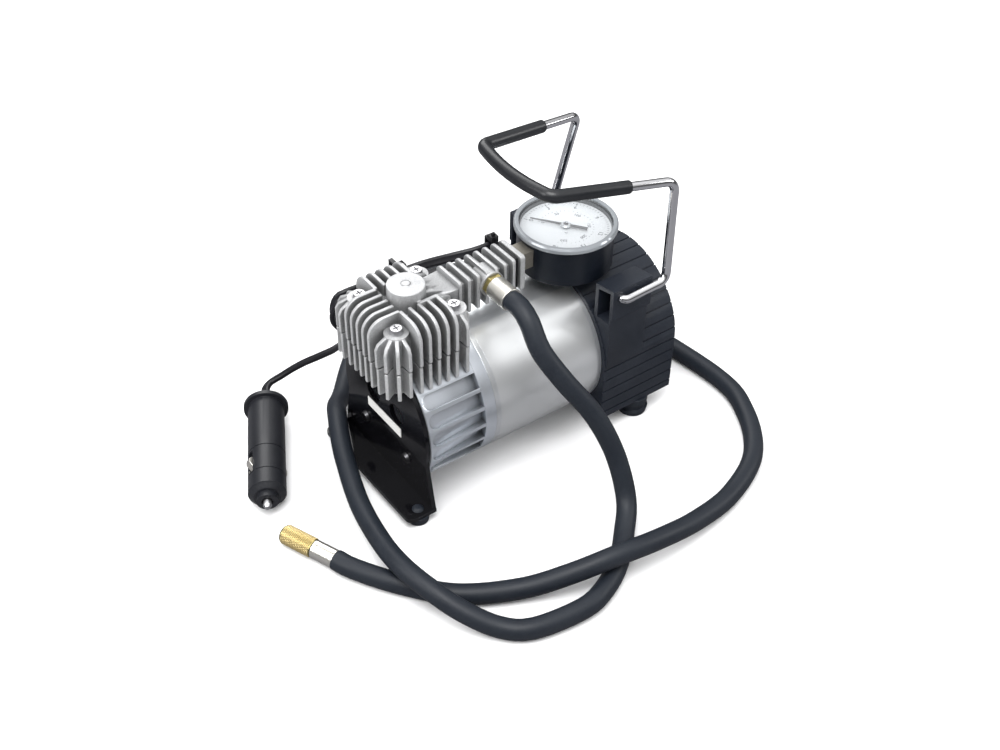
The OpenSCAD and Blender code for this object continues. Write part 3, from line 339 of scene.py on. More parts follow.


# cast aluminium, die-cast silver and darkened steel carry painted shade in their corners and gaps
CAST = Finish("cast aluminium", (0.52, 0.525, 0.53), (0.36, 0.365, 0.375), 0.45, (0.38, 0.52),
              specks=0.5, speck_size=1300, relief=0.4, coarse_size=600, fine_size=2800,
              grime=0.75)
DIE_CAST = Finish("die-cast silver", (0.77, 0.81, 0.87), (0.70, 0.74, 0.80), 0.85, (0.28, 0.34),
                  specks=0.0, relief=0.03, coarse_size=120, fine_size=400, grime=0.9)
SILVER_CAN = Finish("silver lacquer", (0.79, 0.81, 0.83), (0.74, 0.76, 0.78), 0.85, (0.3, 0.36),
                    patches=0.4, specks=0.0, relief=0.03, coarse_size=120, fine_size=400)
FOIL = Finish("bare foil", (0.80, 0.815, 0.825), (0.76, 0.775, 0.785), 0.8, (0.32, 0.38),
              patches=0.4, specks=0.0, relief=0.04, stretch=(1.0, 1.0, 6.0), coarse_size=200,
              fine_size=400)
BLACK_GLOSS = Finish("black enamel", (0.003, 0.003, 0.004), (0.005, 0.005, 0.006), 0.0,
                     (0.08, 0.14), relief=0.04, coat=0.2, coat_rough=0.04, specular=0.3)
CAP_BLACK = Finish("satin black moulding", (0.010, 0.013, 0.020), (0.018, 0.022, 0.031), 0.0,
                   (0.42, 0.54), relief=0.25, coarse_size=900, fine_size=3500, specular=0.25)
RUBBER = Finish("black rubber", (0.009, 0.012, 0.018), (0.015, 0.019, 0.026), 0.0, (0.44, 0.56),
                relief=0.2, coarse_size=700, fine_size=2500, specular=0.3)
SLEEVE = Finish("soft black sleeve", (0.008, 0.009, 0.011), (0.014, 0.015, 0.018), 0.0,
                (0.28, 0.38), relief=0.1, specular=0.45)
PVC = Finish("black cable skin", (0.006, 0.006, 0.008), (0.010, 0.010, 0.013), 0.0, (0.32, 0.44),
             relief=0.1, specular=0.35)
CHROME = Finish("bright chrome", (0.82, 0.82, 0.84), (0.74, 0.74, 0.77), 1.0, (0.05, 0.1),
                patches=0.4, specks=0.1, relief=0.02)
RIM = Finish("clear rim", (0.30, 0.32, 0.34), (0.25, 0.27, 0.29), 0.35, (0.12, 0.2),
             patches=0.4, specks=0.1, relief=0.02, coat=0.4, coat_rough=0.04)
HUB = Finish("needle hub", (0.50, 0.52, 0.54), (0.42, 0.44, 0.46), 0.5, (0.14, 0.22),
             patches=0.4, specks=0.1, relief=0.02)
STEEL = Finish("zinc plated steel", (0.62, 0.62, 0.63), (0.48, 0.48, 0.50), 1.0, (0.28, 0.36),
               relief=0.12, coarse_size=900)
DARK_STEEL = Finish("darkened steel", (0.11, 0.11, 0.115), (0.07, 0.07, 0.075), 1.0, (0.28, 0.36),
                    relief=0.12, coarse_size=900, grime=0.6)
CRIMP = Finish("crimped steel", (0.88, 0.86, 0.80), (0.76, 0.74, 0.68), 1.0, (0.28, 0.36),
               relief=0.15, coarse_size=500)
BRASS = Finish("worn brass", (0.52, 0.44, 0.20), (0.36, 0.29, 0.11), 1.0, (0.28, 0.40),
               relief=0.15, coarse_size=700)
PALE_BRASS = Finish("pale knurled brass", (0.80, 0.66, 0.36), (0.62, 0.48, 0.22), 0.9,
                    (0.3, 0.42), relief=0.1, coarse_size=900)
STEM = Finish("dull plated brass", (0.24, 0.225, 0.195), (0.17, 0.16, 0.135), 0.6, (0.4, 0.52),
              relief=0.25, coarse_size=700)
CASE_BLACK = Finish("gauge case black", (0.005, 0.007, 0.012), (0.009, 0.012, 0.018), 0.1,
                    (0.28, 0.36), relief=0.06, specular=0.4)
DIAL_WHITE = Finish("dial white", (0.50, 0.52, 0.54), (0.46, 0.48, 0.50), 0.0, (0.5, 0.6),
                    patches=0.3, specks=0.1, relief=0.02, specular=0.2)
INK = Finish("dial ink", (0.05, 0.055, 0.06), (0.08, 0.085, 0.09), 0.0, (0.6, 0.7), relief=0.02,
             specular=0.1)
NEEDLE_GREY = Finish("needle lacquer", (0.045, 0.045, 0.05), (0.07, 0.07, 0.075), 0.0,
                     (0.35, 0.45), relief=0.02)
CLEAR = Finish("clear lens", (0.9, 0.93, 0.95), (0.85, 0.88, 0.9), 0.0, (0.05, 0.08),
               patches=0.3, specks=0.1, relief=0.01, specular=0.3, alpha=0.06)
BARE_PLATE = Finish("bare plate", (0.72, 0.72, 0.70), (0.62, 0.62, 0.60), 0.0, (0.4, 0.5),
                    relief=0.05)
SWITCH_RED = Finish("switch red", (0.42, 0.02, 0.015), (0.34, 0.015, 0.012), 0.0, (0.28, 0.34),
                    relief=0.03)
PLUG_BLACK = Finish("plug black", (0.010, 0.011, 0.014), (0.014, 0.015, 0.019), 0.0,
                    (0.34, 0.44), relief=0.08, coarse_size=500, specular=0.42)
NYLON = Finish("nylon tie", (0.006, 0.006, 0.007), (0.010, 0.010, 0.012), 0.0, (0.3, 0.4),
               relief=0.05, specular=0.35)
COPPER = Finish("copper", (0.60, 0.26, 0.12), (0.42, 0.16, 0.07), 1.0, (0.28, 0.4), relief=0.1)
DARK_IRON = Finish("dark iron", (0.10, 0.10, 0.105), (0.16, 0.16, 0.165), 0.6, (0.4, 0.55),
                   relief=0.2)
PAPER = Finish("brown board", (0.30, 0.20, 0.11), (0.24, 0.16, 0.08), 0.0, (0.6, 0.7), relief=0.2)


# ------------------------------------------------------------------ mesh helpers


def new_object(name: str, mesh: bpy.types.Mesh, finish: Finish | None) -> bpy.types.Object:
    """Links a mesh into the scene.

    Args:
        name: The piece's name.
        mesh: Its mesh, in place.
        finish: Its finish, or None to keep what the mesh has.

    Returns:
        The new object.
    """
    made = bpy.data.objects.new(name, mesh)
    bpy.context.scene.collection.objects.link(made)
    if finish:
        mesh.materials.clear()
        mesh.materials.append(finish.make())
    return made


def mesh_of(bm: bmesh.types.BMesh, name: str, smooth_deg: float = SMOOTH_DEG) -> bpy.types.Mesh:
    """Writes a bmesh out, smooth but for edges sharper than an angle.

    Args:
        bm: The bmesh, which is freed.
        name: The mesh's name.
        smooth_deg: Edges bent more than this many degrees stay sharp.

    Returns:
        The mesh.
    """
    mesh = bpy.data.meshes.new(name)
    bm.to_mesh(mesh)
    bm.free()
    mesh.polygons.foreach_set("use_smooth", [True] * len(mesh.polygons))
    mesh.set_sharp_from_angle(angle=math.radians(smooth_deg))
    return mesh


def add_piece(name: str, mesh: bpy.types.Mesh, finish: Finish, body: str,
              replaces: tuple[str, ...] = ()) -> bpy.types.Object:
    """Places a made piece on its body.

    Args:
        name: The piece's name.
        mesh: Its mesh, in place.
        finish: Its finish.
        body: The body that it rides on.
        replaces: The CAD nodes that it stands for.

    Returns:
        The piece.
    """
    piece = new_object(name, mesh, finish)
    if replaces:
        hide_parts(*replaces)
    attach(piece, body)
    return piece


def mark_edges(bm: bmesh.types.BMesh, spared: Callable[[Vector], bool]) -> None:
    """Weights the edges of a casting that are rounded.

    Args:
        bm: The casting.
        spared: Tells of an edge's middle, in millimetres, whether it stays crisp.
    """
    weight = bm.edges.layers.float.new("bevel_weight_edge")
    for edge in bm.edges:
        if len(edge.link_faces) != 2 or edge.calc_face_angle(0.0) < math.radians(BREAK_DEG):
            continue
        if not spared((edge.verts[0].co + edge.verts[1].co) / 2 / MM):
            edge[weight] = 1.0


def soften(node: str, finish: Finish, edge: Edge = Edge.BROKEN, steps: int = 2,
           spared: Callable[[Vector], bool] | None = None) -> bpy.types.Object:
    """Replaces a CAD node by a copy of it with its edges broken.

    Args:
        node: The CAD node.
        finish: The copy's finish.
        edge: How far its edges are broken.
        steps: Segments over a broken edge.
        spared: Tells which edges stay crisp, where the rest are rounded in full.

    Returns:
        The dressed piece, riding on the node's body.
    """
    source = frame["nodes"][node]
    bm = bmesh.new()
    bm.from_mesh(source.data)
    bmesh.ops.remove_doubles(bm, verts=bm.verts, dist=MERGE_CAD)
    bmesh.ops.dissolve_limit(bm, angle_limit=math.radians(FLAT_DEG), verts=bm.verts,
                             edges=bm.edges)
    if spared:
        mark_edges(bm, spared)
    name = f"dressed_{node}"
    piece = add_piece(name, mesh_of(bm, name), finish, source["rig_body"], (node,))
    if edge is not Edge.CRISP:
        bevel = piece.modifiers.new("broken edges", "BEVEL")
        bevel.width = edge.value * MM
        bevel.segments = steps
        bevel.limit_method = "WEIGHT" if spared else "ANGLE"
        bevel.angle_limit = math.radians(BREAK_DEG)
        bevel.harden_normals = True
        bevel.use_clamp_overlap = spared is None
    return piece


def lathe(profile: list[tuple[float, float]], steps: int) -> bmesh.types.BMesh:
    """Turns a closed profile about the Z axis.

    Args:
        profile: Radius and height of each point, in millimetres, going round the section.
        steps: Segments round the axis.

    Returns:
        The closed bmesh, its axis on Z.
    """
    bm = bmesh.new()
    rings = []
    for k in range(steps):
        a = 2 * math.pi * k / steps
        rings.append([bm.verts.new(mm(r * math.cos(a), r * math.sin(a), z)) for r, z in profile])
    count = len(profile)
    for k in range(steps):
        here, there = rings[k], rings[(k + 1) % steps]
        for i in range(count):
            j = (i + 1) % count
            bm.faces.new((here[i], there[i], there[j], here[j]))
    bmesh.ops.remove_doubles(bm, verts=bm.verts, dist=MERGE_MADE)
    bmesh.ops.recalc_face_normals(bm, faces=bm.faces)
    return bm


# ------------------------------------------------------------------ geometry node trees


def make_spaced_tree() -> bpy.types.NodeTree:
    """Small tapered blocks in rows round the Z axis, each pointing outward.

    Returns:
        The tree, with the blocks' count, size, radius and spacing as named inputs.
    """
    g = TreeMaker("blocks round an axis", "GeometryNodeTree")
    g.tree.is_modifier = True
    g.socket("Geometry", "Geometry")
    for name, kind, default in (
        ("Count", "Int", 12), ("Rows", "Int", 1), ("Taper", "Float", 1.0),
        ("Length", "Float", 0.001), ("Width", "Float", 0.001), ("Height", "Float", 0.001),
        ("Radius", "Float", 0.01), ("From", "Float", 0.0), ("Step", "Float", 0.1),
        ("Row pitch", "Float", 0.001), ("Row turn", "Float", 0.0), ("Foot", "Float", 0.0),
        ("Block turn", "Float", math.pi / 4),
    ):
        g.socket(name, kind, default)
    g.socket("Finish", "Material")
    g.socket("Geometry", "Geometry", out=True)
    index = g.node("GeometryNodeInputIndex").outputs[0]
    column = g.math("FLOORED_MODULO", index, g.given("Count"))
    row = g.math("FLOOR", g.math("DIVIDE", index, g.given("Count")))
    turned_on = g.math("ADD", g.math("MULTIPLY", column, g.given("Step")),
                       g.math("MULTIPLY", row, g.given("Row turn")))
    angle = g.math("ADD", g.given("From"), turned_on)
    place = g.node("CombineXYZ", {
        0: g.math("MULTIPLY", g.math("COSINE", angle), g.given("Radius")),
        1: g.math("MULTIPLY", g.math("SINE", angle), g.given("Radius")),
        2: g.math("ADD", g.given("Foot"), g.math("MULTIPLY", row, g.given("Row pitch")))})
    points = g.node("GeometryNodePoints", {
        "Count": g.math("MULTIPLY", g.given("Count"), g.given("Rows")),
        "Position": place.outputs[0]})
    half = 1 / math.sqrt(2)
    cone = g.node("GeometryNodeMeshCone", {
        "Vertices": 4, "Side Segments": 1, "Fill Segments": 1, "Depth": 1.0,
        "Radius Top": g.math("MULTIPLY", g.given("Taper"), half), "Radius Bottom": half})
    turned = g.node("CombineXYZ", {2: g.given("Block turn")})
    squared = g.node("GeometryNodeTransform", {
        "Geometry": cone.outputs["Mesh"], "Rotation": turned.outputs[0]})
    laid = g.node("GeometryNodeTransform", {
        "Geometry": squared.outputs[0], "Rotation": (0.0, math.pi / 2, 0.0)})
    size = g.node("CombineXYZ", {0: g.given("Length"), 1: g.given("Width"), 2: g.given("Height")})
    sized = g.node("GeometryNodeTransform", {"Geometry": laid.outputs[0], "Scale": size.outputs[0]})
    facing = g.node("CombineXYZ", {2: angle})
    turn = g.node("FunctionNodeEulerToRotation", {0: facing.outputs[0]})
    placed = g.node("GeometryNodeInstanceOnPoints", {
        "Points": points.outputs[0], "Instance": sized.outputs[0], "Rotation": turn.outputs[0]})
    real = g.node("GeometryNodeRealizeInstances", {0: placed.outputs[0]})
    done = g.node("GeometryNodeSetMaterial", {
        "Geometry": real.outputs[0], "Material": g.given("Finish")})
    g.put("Geometry", done.outputs[0])
    return g.tree


def make_bar_tree() -> bpy.types.NodeTree:
    """A round bar along the edges of the mesh that carries the tree.

    Returns:
        The tree, with the bar's radius and sides as named inputs.
    """
    g = TreeMaker("bar along a path", "GeometryNodeTree")
    g.tree.is_modifier = True
    g.socket("Geometry", "Geometry")
    g.socket("Radius", "Float", 0.002)
    g.socket("Sides", "Int", 24)
    g.socket("Finish", "Material")
    g.socket("Geometry", "Geometry", out=True)
    path = g.node("GeometryNodeMeshToCurve", {0: g.given("Geometry")})
    ring = g.node("GeometryNodeCurvePrimitiveCircle", {
        "Resolution": g.given("Sides"), "Radius": g.given("Radius")})
    bar = g.node("GeometryNodeCurveToMesh", {
        "Curve": path.outputs[0], "Profile Curve": ring.outputs[0], "Fill Caps": True})
    real = g.node("GeometryNodeRealizeInstances", {0: bar.outputs[0]})
    done = g.node("GeometryNodeSetMaterial", {
        "Geometry": real.outputs[0], "Material": g.given("Finish")})
    g.put("Geometry", done.outputs[0])
    return g.tree


def grow(tree: bpy.types.NodeTree, name: str, finish: Finish, values: dict[str, float],
         start: bpy.types.Mesh | None = None, place: Matrix | None = None,
         smooth_deg: float = 30.0) -> bpy.types.Mesh:
    """Runs a geometry node tree and keeps what it makes as a plain mesh.

    Args:
        tree: The tree.
        name: The mesh's name.
        finish: Goes to the tree's Finish input.
        values: The tree's other named inputs.
        start: The mesh that the tree starts from.
        place: Where the result is put.
        smooth_deg: Edges bent more than this many degrees stay sharp.

    Returns:
        The mesh, in place.
    """
    carrier = bpy.data.objects.new(f"{name}_start", start or bpy.data.meshes.new(name))
    bpy.context.scene.collection.objects.link(carrier)
    modifier = carrier.modifiers.new("tree", "NODES")
    modifier.node_group = tree
    sockets = {item.name: item.identifier for item in tree.interface.items_tree
               if item.in_out == "INPUT"}
    for key, value in {**values, "Finish": finish.make()}.items():
        modifier[sockets[key]] = value
    graph = bpy.context.evaluated_depsgraph_get()
    made = bpy.data.meshes.new_from_object(carrier.evaluated_get(graph))
    bpy.data.objects.remove(carrier)
    bm = bmesh.new()
    bm.from_mesh(made)
    if place:
        bm.transform(place)
    bmesh.ops.remove_doubles(bm, verts=bm.verts, dist=MERGE_MADE)
    bmesh.ops.recalc_face_normals(bm, faces=bm.faces)
    return mesh_of(bm, name, smooth_deg)


SPACED_TREE = make_spaced_tree()
BAR_TREE = make_bar_tree()


def joined(name: str, meshes: list[bpy.types.Mesh], smooth_deg: float = 30.0) -> bpy.types.Mesh:
    """Several meshes in one."""
    bm = bmesh.new()
    for mesh in meshes:
        bm.from_mesh(mesh)
    return mesh_of(bm, name, smooth_deg)


# ------------------------------------------------------------------ studio


@dataclass
class Studio:
    """The camera, the pale floor and the soft lights."""

    eye: Point = (-340.6, -457.8, 531.6)
    aim: Point = (-0.8, 0.0, 33.3)
    lens: float = 48.26
    roll_deg: float = 0.82
    floor_size: float = 6.0
    sky: float = 0.9
    horizon_seen: float = 0.10
    zenith_seen: float = 1.25
    floor_seen: float = 0.16

    def make_camera(self) -> None:
        """Stands the camera at the matched view."""
        data = bpy.data.cameras.new("camera")
        data.lens, data.sensor_width = self.lens, 36.0
        data.clip_start = 0.01
        camera = bpy.data.objects.new("camera", data)
        bpy.context.scene.collection.objects.link(camera)
        eye, aim = mm(*self.eye), mm(*self.aim)
        ahead = (aim - eye).normalized()
        right = ahead.cross(Vector((0, 0, 1))).normalized()
        above = right.cross(ahead)
        turn = math.radians(self.roll_deg)
        side = right * math.cos(turn) + above * math.sin(turn)
        above = above * math.cos(turn) - right * math.sin(turn)
        basis = Matrix((side, above, -ahead)).transposed().to_4x4()
        camera.matrix_world = Matrix.Translation(eye) @ basis
        bpy.context.scene.camera = camera

    def make_floor(self) -> None:
        """Lays the floor: pale to the eye, calmer in the reflections of bright metal."""
        bm = bmesh.new()
        bmesh.ops.create_grid(bm, x_segments=1, y_segments=1, size=self.floor_size)
        pale = Finish("floor", (0.93, 0.93, 0.935), (0.925, 0.925, 0.93), 0.0, (0.6, 0.65),
                      relief=0.0, specular=0.1)
        floor = new_object("floor", mesh_of(bm, "floor"), pale)
        tree = floor.data.materials[0].node_tree
        shader = tree.nodes["Principled BSDF"]
        ray = add_node(tree, "LightPath").outputs["Is Glossy Ray"]
        tone = shader.inputs["Base Color"].links[0].from_socket
        calm = (self.floor_seen, self.floor_seen, self.floor_seen * 1.06, 1.0)
        blend = add_node(tree, "MixRGB", {"Fac": ray, "Color1": tone, "Color2": calm})
        tree.links.new(blend.outputs[0], shader.inputs["Base Color"])

    def make_lights(self) -> None:
        """Hangs the soft boxes and sets the sky's even light."""
        for name, place, aim, size, power in (
            ("key", (-350, -300, 1300), (0, 0, 50), 0.8, 16.0),
            ("left", (-1200, 200, 800), (0, 0, 50), 0.7, 7.0),
            ("back", (300, 1200, 1000), (0, 0, 60), 0.9, 9.0),
            ("right", (1100, -700, 700), (0, 0, 50), 0.5, 5.0),
        ):
            data = bpy.data.lights.new(name, "AREA")
            data.size, data.energy = size, power
            lamp = bpy.data.objects.new(name, data)
            bpy.context.scene.collection.objects.link(lamp)
            lamp.location = mm(*place)
            lamp.rotation_mode = "QUATERNION"
            lamp.rotation_quaternion = (mm(*aim) - mm(*place)).to_track_quat("-Z", "Y")
        world = bpy.data.worlds.new("even light")
        bpy.context.scene.world = world
        world.use_nodes = True
        tree = world.node_tree
        sky = tree.nodes["Background"]
        sky.inputs["Color"].default_value = (1.0, 1.0, 1.0, 1.0)
        ray = add_node(tree, "LightPath").outputs["Is Glossy Ray"]
        incoming = add_node(tree, "NewGeometry").outputs["Incoming"]
        height = add_node(tree, "SeparateXYZ", {0: incoming}).outputs["Z"]
        seen = add_node(tree, "MapRange", {
            "Value": height, "From Min": -0.2, "From Max": -0.95, "To Min": self.horizon_seen,
            "To Max": self.zenith_seen}, interpolation_type="SMOOTHSTEP")
        level = add_node(tree, "MapRange", {
            "Value": ray, "To Min": self.sky, "To Max": seen.outputs["Result"]})
        tree.links.new(level.outputs["Result"], sky.inputs["Strength"])
        bpy.context.scene.view_settings.view_transform = "Standard"


# ------------------------------------------------------------------ cords


def smooth_line(points: list[Vector], step: float) -> list[Vector]:
    """A smooth curve through the points, sampled at an even spacing.

    Args:
        points: The route, in metres.
        step: Rough distance between samples, in metres.

    Returns:
        The samples, with both ends exact.
    """
    line: list[Vector] = []
    last = len(points) - 1
    for i in range(last):
        p1, p2 = points[i], points[i + 1]
        p0 = points[i - 1] if i else p1 * 2 - p2
        p3 = points[i + 2] if i + 2 <= last else p2 * 2 - p1
        count = max(1, round((p2 - p1).length / step))
        for s in range(count):
            t = s / count
            line.append(0.5 * (
                2 * p1 + (p2 - p0) * t + (2 * p0 - 5 * p1 + 4 * p2 - p3) * t * t
                + (3 * p1 - p0 - 3 * p2 + p3) * t * t * t
            ))
    line.append(points[-1].copy())
    return line


def sweep(name: str, line: list[Vector], section: list[tuple[float, float]],
          side: Vector, turns: list[float] | None = None) -> bpy.types.Mesh:
    """A closed tube of a given cross-section along a line, without twist.

    Args:
        name: The mesh's name.
        line: The centreline, in metres.
        section: The cross-section's points, in metres, counter-clockwise.
        side: Roughly the direction of the section's second axis at the start.
        turns: How far the section is turned at each point, in radians.

    Returns:
        The mesh, capped at both ends.
    """
    bm = bmesh.new()
    rings: list[list[bmesh.types.BMVert]] = []
    up = side
    for i, point in enumerate(line):
        ahead = (line[min(i + 1, len(line) - 1)] - line[max(i - 1, 0)]).normalized()
        up = (up - ahead * up.dot(ahead)).normalized()
        across = up.cross(ahead)
        c, s = (math.cos(turns[i]), math.sin(turns[i])) if turns else (1.0, 0.0)
        wide, thin = across * c + up * s, up * c - across * s
        rings.append([bm.verts.new(point + wide * a + thin * b) for a, b in section])
    count = len(section)
    for a, b in zip(rings, rings[1:]):
        for k in range(count):
            bm.faces.new((a[k], a[(k + 1) % count], b[(k + 1) % count], b[k]))
    bm.faces.new(rings[0][::-1])
    bm.faces.new(rings[-1])
    bmesh.ops.recalc_face_normals(bm, faces=bm.faces)
    return mesh_of(bm, name, 50)


@dataclass
class AirHose:
    """The rubber hose from the arm's fitting to the valve connector."""

    diameter: float = 11.0
    sides: int = 28
    step: float = 4.0
    route: list[Point] = field(default_factory=lambda: [
        (-15, -28, 111), (-15, -35.7, 111), (-15.4, -44, 107), (-15.2, -54, 95),
        (-8.3, -65.5, 79.2), (3, -77.3, 58.8), (10.3, -88, 35), (9, -101, 13.5),
        (-2, -113.5, 6.3), (-18, -128, 5.5), (-34.9, -137.5, 5.5), (-51.9, -141.2, 5.5),
        (-79.6, -136.6, 5.5), (-93, -126.5, 6), (-104, -112, 11), (-111.3, -96, 15.8),
        (-115.6, -74.5, 17.4), (-113.4, -50, 13.6), (-107.5, -20, 11.5), (-98.5, 8.8, 15),
        (-92, 25, 17), (-84.5, 40.5, 16.4), (-79, 50.8, 13.2), (-69.5, 61.5, 9),
        (-50, 85, 5.5), (-25, 109, 5.5), (28, 131, 5.5), (62, 122, 5.5), (88, 99, 5.5),
        (105, 66, 5.5), (114, 25, 5.5), (123, -50, 5.5), (115, -83, 5.5), (94, -111, 5.5),
        (63, -126, 5.5), (32, -132, 9), (2, -134, 15), (-22, -132, 17.5), (-46, -125, 13),
        (-70, -114, 7), (-98, -97, 5.5), (-118, -74, 5.5), (-131.28, -52.8, 5.5),
        (-135.4, -42.6, 5.5)])

    def build(self) -> bpy.types.Object:
        """Returns:
            The hose.
        """
        line = smooth_line([mm(*p) for p in self.route], self.step * MM)
        r = self.diameter / 2 * MM
        section = [(r * math.cos(a), r * math.sin(a))
                   for a in (2 * math.pi * k / self.sides for k in range(self.sides))]
        mesh = sweep("air_hose_skin", line, section, Vector((0, 0, 1)))
        hose = add_piece("air_hose_skin", mesh, RUBBER, "machine", ("air_hose",))
        return hose


@dataclass
class PowerLead:
    """The flat twin lead: out of the cap, coiled, up over the head and down to the plug."""

    width: float = 5.4
    thickness: float = 3.2
    coil_at: tuple[float, float] = (27.0, 84.0)
    coil_r: float = 27.0
    pitch: float = 5.95
    layers: int = 4
    turns: float = 10.25
    start: float = 0.25
    plug_stub: float = 9.0
    step: float = 3.0
    coil_steps: int = 40
    edge_up: Point = (0.3, 0.4, 0.87)
    edge_from: float = 60.0
    edge_over: float = 35.0
    entry: list[Point] = field(default_factory=lambda: [
        (70.2, 63.2, 28), (70.2, 69.2, 28), (71, 80, 25), (70, 94, 15.5), (61, 110, 6),
        (51, 117, 2.7)])
    run: list[Point] = field(default_factory=lambda: [
        (-5, 64, 25), (1, 51.5, 46), (5, 41, 74), (7, 33, 91), (8, 23, 104),
        (6.5, 15.5, 111.5), (2, 13.7, 113.5), (-8, 15.5, 112.5), (-20, 22, 109.5),
        (-30, 30, 104.8), (-40, 33.5, 102.5), (-53, 34, 102.5), (-75, 34.5, 103),
        (-80.5, 35.5, 101), (-83.4, 36.5, 94), (-82.5, 38, 86), (-77, 41, 76),
        (-71.3, 47.5, 62.5), (-70, 62, 44.5), (-75, 73, 33.5), (-81, 80, 27), (-87, 86, 20.5),
        (-93.3, 90, 15), (-99.3, 91.8, 12)])

    def coil_point(self, turn: float) -> Vector:
        """A point of the coil, that many turns from its start, in metres."""
        layer_turns = self.turns / self.layers
        inner = self.coil_r - self.pitch * layer_turns / 2
        reach = inner + self.pitch * layer_turns * abs(1 - (turn / layer_turns) % 2)
        k = min(self.layers - 1, max(1, math.floor(turn / layer_turns + 0.5)))
        climb = k - 1 + min(1.0, max(0.0, 2 * (turn - k * layer_turns) + 0.5))
        a = 2 * math.pi * (turn + self.start)
        return mm(self.coil_at[0] + reach * math.cos(a), self.coil_at[1] + reach * math.sin(a),
                  self.width / 2 + self.pitch * climb)

    def section(self) -> list[tuple[float, float]]:
        """The figure-eight section of two cores side by side, in metres."""
        w, t = self.width * MM / 2, self.thickness * MM / 2
        points = []
        for centre, turn in ((w - t, -90), (t - w, 90)):
            for k in range(9):
                a = math.radians(turn + 22.5 * k)
                points.append((centre + t * math.cos(a), t * math.sin(a)))
        points.insert(9, (0.0, t * 0.7))
        points.append((0.0, -t * 0.7))
        return points

    def lay_flat(self, line: list[Vector], first: int) -> list[float]:
        """Turns that stand the flat lead on its edge where it lies over the arm.

        Args:
            line: The lead's centreline.
            first: Where the run behind the coil starts in it.

        Returns:
            The turn at each point, in radians.
        """
        up = Vector((1, 0, 0))
        turns = []
        for i, point in enumerate(line):
            ahead = (line[min(i + 1, len(line) - 1)] - line[max(i - 1, 0)]).normalized()
            up = (up - ahead * up.dot(ahead)).normalized()
            across = up.cross(ahead)
            wanted = Vector(self.edge_up) - ahead * ahead.dot(Vector(self.edge_up))
            turn = math.atan2(wanted.dot(up), wanted.dot(across))
            if turns:
                last = turns[-1][0]
                while turn - last > math.pi / 2:
                    turn -= math.pi
                while last - turn > math.pi / 2:
                    turn += math.pi
            height = point.z / MM
            share = min(1.0, max(0.0, (height - self.edge_from) / self.edge_over))
            turns.append((turn, share if i > first else 0.0))
        return [turn * share * share * (3 - 2 * share) for turn, share in turns]

    def build(self) -> bpy.types.Object:
        """Returns:
            The lead.
        """
        steps = round(self.turns * self.coil_steps)
        coil = [self.coil_point(self.turns * i / steps) for i in range(steps + 1)]
        one = self.width * MM
        first = coil[0] + Vector((one, 0, 0))
        last = coil[-1] - Vector((0, one, 0))
        ahead = Vector((math.cos(PLUG_TURN) * math.cos(PLUG_TILT),
                        math.sin(PLUG_TURN) * math.cos(PLUG_TILT), -math.sin(PLUG_TILT)))
        entry_end = (PLUG_AT - ahead * self.plug_stub) * MM
        before = smooth_line([mm(*p) for p in self.entry]
                             + [first + Vector((one, 0, 0)), first], self.step * MM)
        after = smooth_line([last, last - Vector((0, one, 0))] + [mm(*p) for p in self.run]
                            + [entry_end - ahead * one, entry_end], self.step * MM)
        line = before + coil + after
        turns = self.lay_flat(line, len(before) + len(coil))
        mesh = sweep("twin_lead", line, self.section(), Vector((1, 0, 0)), turns)
        lead = add_piece("twin_lead", mesh, PVC, "machine",
                         ("lead_entry", "lead_coil", "lead_run"))
        return lead


# ------------------------------------------------------------------ sub-assemblies


@dataclass
class PumpHead:
    """The finned head with its arm and screws, the block under it and the plates between."""

    edge: Edge = Edge.ROUND
    post_reach: float = 7.4
    port_reach: float = 8.6
    neck_from: float = 10.5
    neck_to: float = 26.5
    neck_half: float = 11.0

    def crisp(self, at: Vector) -> bool:
        """Whether an edge lies at a screw post, on the arm's neck or at the outlet port."""
        post = math.hypot(abs(at.x - HEAD_X) - SCREW_OFF, abs(at.y) - SCREW_OFF)
        port = math.hypot(at.x - PORT[0], at.z - PORT[1])
        neck = self.neck_from < at.x - HEAD_X < self.neck_to and abs(at.y) < self.neck_half
        return post < self.post_reach or neck or (at.y < 0 and port < self.port_reach)

    def build(self) -> list[bpy.types.Object]:
        """Dresses the castings, the head's screws and the plates between head and block."""
        pieces = [soften("cylinder_head", CAST, self.edge, 2, self.crisp),
                  soften("cylinder_block", CAST, self.edge, 2, self.crisp),
                  soften("head_screws", STEEL, Edge.FINE)]
        for node, finish in (("head_gasket", PAPER), ("valve_plate", STEEL),
                             ("reed_valves", STEEL)):
            pieces.append(soften(node, finish, Edge.CRISP))
        return pieces


@dataclass
class PumpHousing:
    """The ribbed housing, its clamp ring and the crank drive inside it."""

    dressed: dict[str, tuple[Finish, Edge]] = field(default_factory=lambda: {
        "pump_housing": (DIE_CAST, Edge.SOFT), "clamp_ring": (DIE_CAST, Edge.SOFT),
        "cylinder_liner": (STEEL, Edge.CRISP), "piston": (DIE_CAST, Edge.FINE),
        "piston_ring": (PAPER, Edge.CRISP), "wrist_pin": (STEEL, Edge.FINE),
        "connecting_rod": (DIE_CAST, Edge.BROKEN), "crank_pin": (STEEL, Edge.FINE),
        "crank_web": (DARK_IRON, Edge.BROKEN), "motor_bearings": (STEEL, Edge.FINE)})

    def build(self) -> list[bpy.types.Object]:
        """Dresses the housing and everything that runs in it."""
        return [soften(node, *look) for node, look in self.dressed.items()]


@dataclass
class FrontStand:
    """The glossy bracket with its screws, feet and bare plate."""

    def build(self) -> list[bpy.types.Object]:
        """Dresses the stand."""
        return [soften("front_bracket", BLACK_GLOSS, Edge.SOFT, 3),
                soften("bracket_screws", DARK_STEEL, Edge.BROKEN),
                soften("front_feet", RUBBER, Edge.SOFT),
                soften("blank_plate", BARE_PLATE, Edge.CRISP)]


